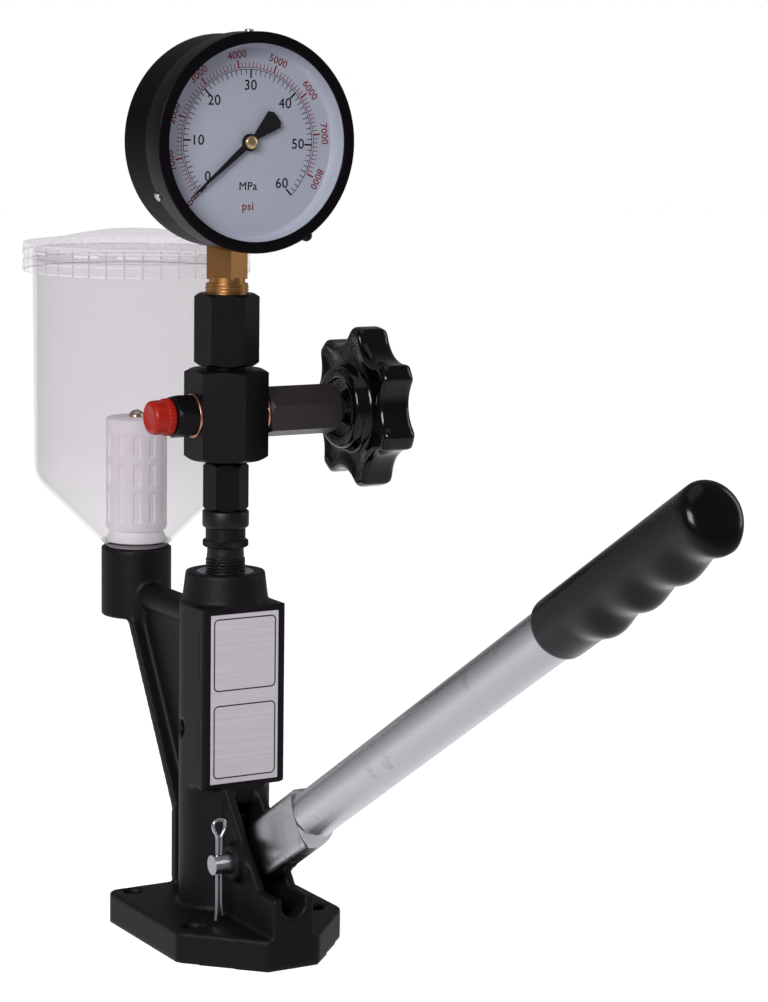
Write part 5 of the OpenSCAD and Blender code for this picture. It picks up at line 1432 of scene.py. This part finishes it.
class TESTER_OT_pivot(bpy.types.Operator):
    """Pivot pin with its split pin."""

    bl_idname = "tester.pivot"
    bl_label = "Pivot and split pin"

    def execute(self, context):
        softened("pivot_pin", 0.5 * MM, "stand", ["steel"])
        path = [(-1.6, -27.2), (-1.1, -22.0), (-0.97, -14.0), (-0.95, 0.0), (-0.95, 11.5), (-1.3, 14.0),
                (-2.7, 16.6), (-3.2, 18.9), (-2.6, 20.8), (-1.3, 21.4), (0.0, 21.6), (1.3, 21.4), (2.6, 20.8),
                (3.2, 18.9), (2.7, 16.6), (1.3, 14.0), (0.95, 11.5), (0.95, 0.0), (1.0, -14.0), (1.3, -21.0),
                (2.1, -25.0)]
        bits = 6
        sides = 12
        wire = 0.92
        points = []
        for i in range(len(path) - 1):
            a, b, c, d = (Vector(path[min(max(i + k, 0), len(path) - 1)]) for k in (-1, 0, 1, 2))
            for k in range(bits):
                t = k / bits
                points.append(0.5 * (2 * b + (c - a) * t + (2 * a - 5 * b + 4 * c - d) * t * t
                                     + (3 * b - a - 3 * c + d) * t ** 3))
        points.append(Vector(path[-1]))
        rows = []
        for i, point in enumerate(points):
            ahead = points[min(i + 1, len(points) - 1)] - points[max(i - 1, 0)]
            side = Vector((ahead[1], -ahead[0])).normalized()
            ring = []
            for k in range(sides):
                angle = 2 * math.pi * k / sides
                off = wire * math.cos(angle)
                deep = 1.15 * wire * math.sin(angle)
                ring.append(Vector((point[0] + side[0] * off, deep, point[1] + side[1] * off)))
            rows.append(ring)
        first = sum(rows[0], Vector()) / sides
        last = sum(rows[-1], Vector()) / sides
        shape = skin(bmesh.new(), [[first]] + rows + [[last]])
        where = place((-20.63, PIVOT[1], PIVOT[2]), (1, 0, 0), (0, 1, 0), (0, 0, 1))
        piece_from("split_pin_wire", shape, where, "stand", ["steel"], ("cotter_pin",), 50.0)
        return {"FINISHED"}


class TESTER_OT_stage(bpy.types.Operator):
    """Pale floor, soft studio light and the camera at the photograph's angle."""

    bl_idname = "tester.stage"
    bl_label = "Floor, light and camera"

    def floor(self, scene):
        """Pale floor that doesn't light the part."""
        shape = bmesh.new()
        bmesh.ops.create_grid(shape, x_segments=1, y_segments=1, size=6.0)
        mesh = bpy.data.meshes.new("floor")
        shape.to_mesh(mesh)
        shape.free()
        floor = bpy.data.objects.new("floor", mesh)
        scene.collection.objects.link(floor)
        pale = Finish("pale floor")
        pale.set(Base_Color=(0.50, 0.50, 0.50), Roughness=0.9, Specular_IOR_Level=0.1,
                 Emission_Color=(1.0, 1.0, 1.0), Emission_Strength=0.92)
        mesh.materials.append(pale.material)
        floor.visible_diffuse = False
        floor.visible_glossy = False

    def room(self, scene):
        """Dim room, paler below and behind the part, that the camera sees as white."""
        world = bpy.data.worlds.new("studio")
        world.use_nodes = True
        scene.world = world
        nodes = world.node_tree.nodes
        link = world.node_tree.links.new
        height = nodes.new("ShaderNodeSeparateXYZ")
        link(nodes.new("ShaderNodeTexCoord").outputs["Generated"], height.inputs[0])
        level = nodes.new("ShaderNodeMapRange")
        link(height.outputs["Z"], level.inputs["Value"])
        level.inputs["From Min"].default_value = -1.0
        room = nodes.new("ShaderNodeValToRGB")
        link(level.outputs[0], room.inputs[0])
        for at, shade in ((0.25, 0.66), (0.35, 0.32), (0.44, 0.13), (0.50, 0.13), (0.65, 0.16)):
            room.color_ramp.elements.new(at).color = (shade, 0.945 * shade, 1.03 * shade, 1.0)
        room.color_ramp.elements[0].color = (0.72, 0.68, 0.742, 1.0)
        room.color_ramp.elements[-1].color = (0.12, 0.114, 0.124, 1.0)
        seen = nodes.new("ShaderNodeMix")
        seen.data_type = "RGBA"
        link(nodes.new("ShaderNodeLightPath").outputs["Is Camera Ray"], seen.inputs[0])
        backdrop = nodes.new("ShaderNodeMapRange")
        backdrop.interpolation_type = "SMOOTHSTEP"
        link(height.outputs["Y"], backdrop.inputs["Value"])
        for name, value in (("From Min", 0.1), ("From Max", 0.7), ("To Max", 0.40)):
            backdrop.inputs[name].default_value = value
        lower = nodes.new("ShaderNodeMapRange")
        lower.interpolation_type = "SMOOTHSTEP"
        link(height.outputs["Z"], lower.inputs["Value"])
        for name, value in (("From Min", -0.15), ("From Max", 0.18), ("To Min", 1.0), ("To Max", 0.12)):
            lower.inputs[name].default_value = value
        wall = nodes.new("ShaderNodeMath")
        wall.operation = "MULTIPLY"
        link(backdrop.outputs[0], wall.inputs[0])
        link(lower.outputs[0], wall.inputs[1])
        both = nodes.new("ShaderNodeMix")
        both.data_type = "RGBA"
        both.blend_type = "ADD"
        both.inputs[0].default_value = 1.0
        link(room.outputs[0], both.inputs[6])
        link(wall.outputs[0], both.inputs[7])
        link(both.outputs[2], seen.inputs[6])
        seen.inputs[7].default_value = (1.0, 1.0, 1.0, 1.0)
        link(seen.outputs[2], nodes["Background"].inputs["Color"])

    def lights(self, scene):
        """Three soft lamps, of which the left one is the strongest."""
        middle = (0.0, 0.0, 0.2)

        def soft_light(name, at, size, power, tint=(1.0, 1.0, 1.0)):
            lamp = bpy.data.lights.new(name, "AREA")
            lamp.shape = "RECTANGLE"
            lamp.size = size[0]
            lamp.size_y = size[1]
            lamp.energy = power
            lamp.color = tint
            holder = bpy.data.objects.new(name, lamp)
            holder.location = at
            holder.rotation_euler = (Vector(middle) - Vector(at)).to_track_quat("-Z", "Y").to_euler()
            scene.collection.objects.link(holder)

        soft_light("top light", (0.0, -0.3, 1.9), (1.4, 1.4), 3.0)
        soft_light("key light", (-1.75, -1.35, 1.15), (1.0, 1.0), 42.0, (1.0, 0.968, 1.0))
        soft_light("right light", (1.6, -0.4, 0.8), (0.5, 1.2), 4.0)

    def camera(self, scene):
        """The place and angle that the photograph was taken from."""
        yaw = math.radians(30.372)
        pitch = math.radians(8.683)
        roll = math.radians(0.812)
        ahead = Vector((math.sin(yaw) * math.cos(pitch), math.cos(yaw) * math.cos(pitch), -math.sin(pitch)))
        right = Vector((math.cos(yaw), -math.sin(yaw), 0.0))
        up = right.cross(ahead)
        right_rolled = right * math.cos(roll) + up * math.sin(roll)
        up_rolled = up * math.cos(roll) - right * math.sin(roll)
        focal_pixels = 2933.0
        picture_pixels = 1002.0
        lens = bpy.data.cameras.new("camera")
        lens.sensor_width = 36.0
        lens.lens = focal_pixels * lens.sensor_width / picture_pixels
        lens.clip_start = 0.05
        camera = bpy.data.objects.new("camera", lens)
        turn = Matrix((right_rolled, up_rolled, -ahead)).transposed().to_4x4()
        camera.matrix_world = Matrix.Translation(Vector((-0.63666, -1.23625, 0.42517))) @ turn
        scene.collection.objects.link(camera)
        scene.camera = camera

    def execute(self, context):
        scene = context.scene
        scene.view_settings.view_transform = "Standard"
        self.floor(scene)
        self.room(scene)
        self.lights(scene)
        self.camera(scene)
        return {"FINISHED"}


OPERATORS = (TESTER_OT_casting, TESTER_OT_pump, TESTER_OT_holder, TESTER_OT_hexagons, TESTER_OT_cap,
             TESTER_OT_knob, TESTER_OT_gauge, TESTER_OT_dial, TESTER_OT_tank, TESTER_OT_lever,
             TESTER_OT_pivot, TESTER_OT_stage)


class TESTER_PT_sidebar(bpy.types.Panel):
    """Lists the sizes, the colours and the steps."""

    bl_idname = "TESTER_PT_sidebar"
    bl_label = "Injector tester"
    bl_space_type = "VIEW_3D"
    bl_region_type = "UI"
    bl_category = "Injector tester"

    def draw(self, context):
        for group in (context.scene.tester_sizes, context.scene.tester_colours):
            box = self.layout.box()
            for name in group.bl_rna.properties.keys():
                if name not in ("rna_type", "name"):
                    box.prop(group, name)
        for operator in OPERATORS:
            self.layout.operator(operator.bl_idname)


CLASSES = (TesterSizes, TesterColours, *OPERATORS, TESTER_PT_sidebar)


def register():
    for item in CLASSES:
        bpy.utils.register_class(item)
    bpy.types.Scene.tester_sizes = bpy.props.PointerProperty(type=TesterSizes)
    bpy.types.Scene.tester_colours = bpy.props.PointerProperty(type=TesterColours)


def unregister():
    del bpy.types.Scene.tester_colours
    del bpy.types.Scene.tester_sizes
    for item in reversed(CLASSES):
        bpy.utils.unregister_class(item)


def main():
    """Makes the finishes and runs each step."""
    register()
    make_finishes()
    for operator in OPERATORS:
        group, step = operator.bl_idname.split(".")
        getattr(getattr(bpy.ops, group), step)()


if __name__ == "__main__":
    main()
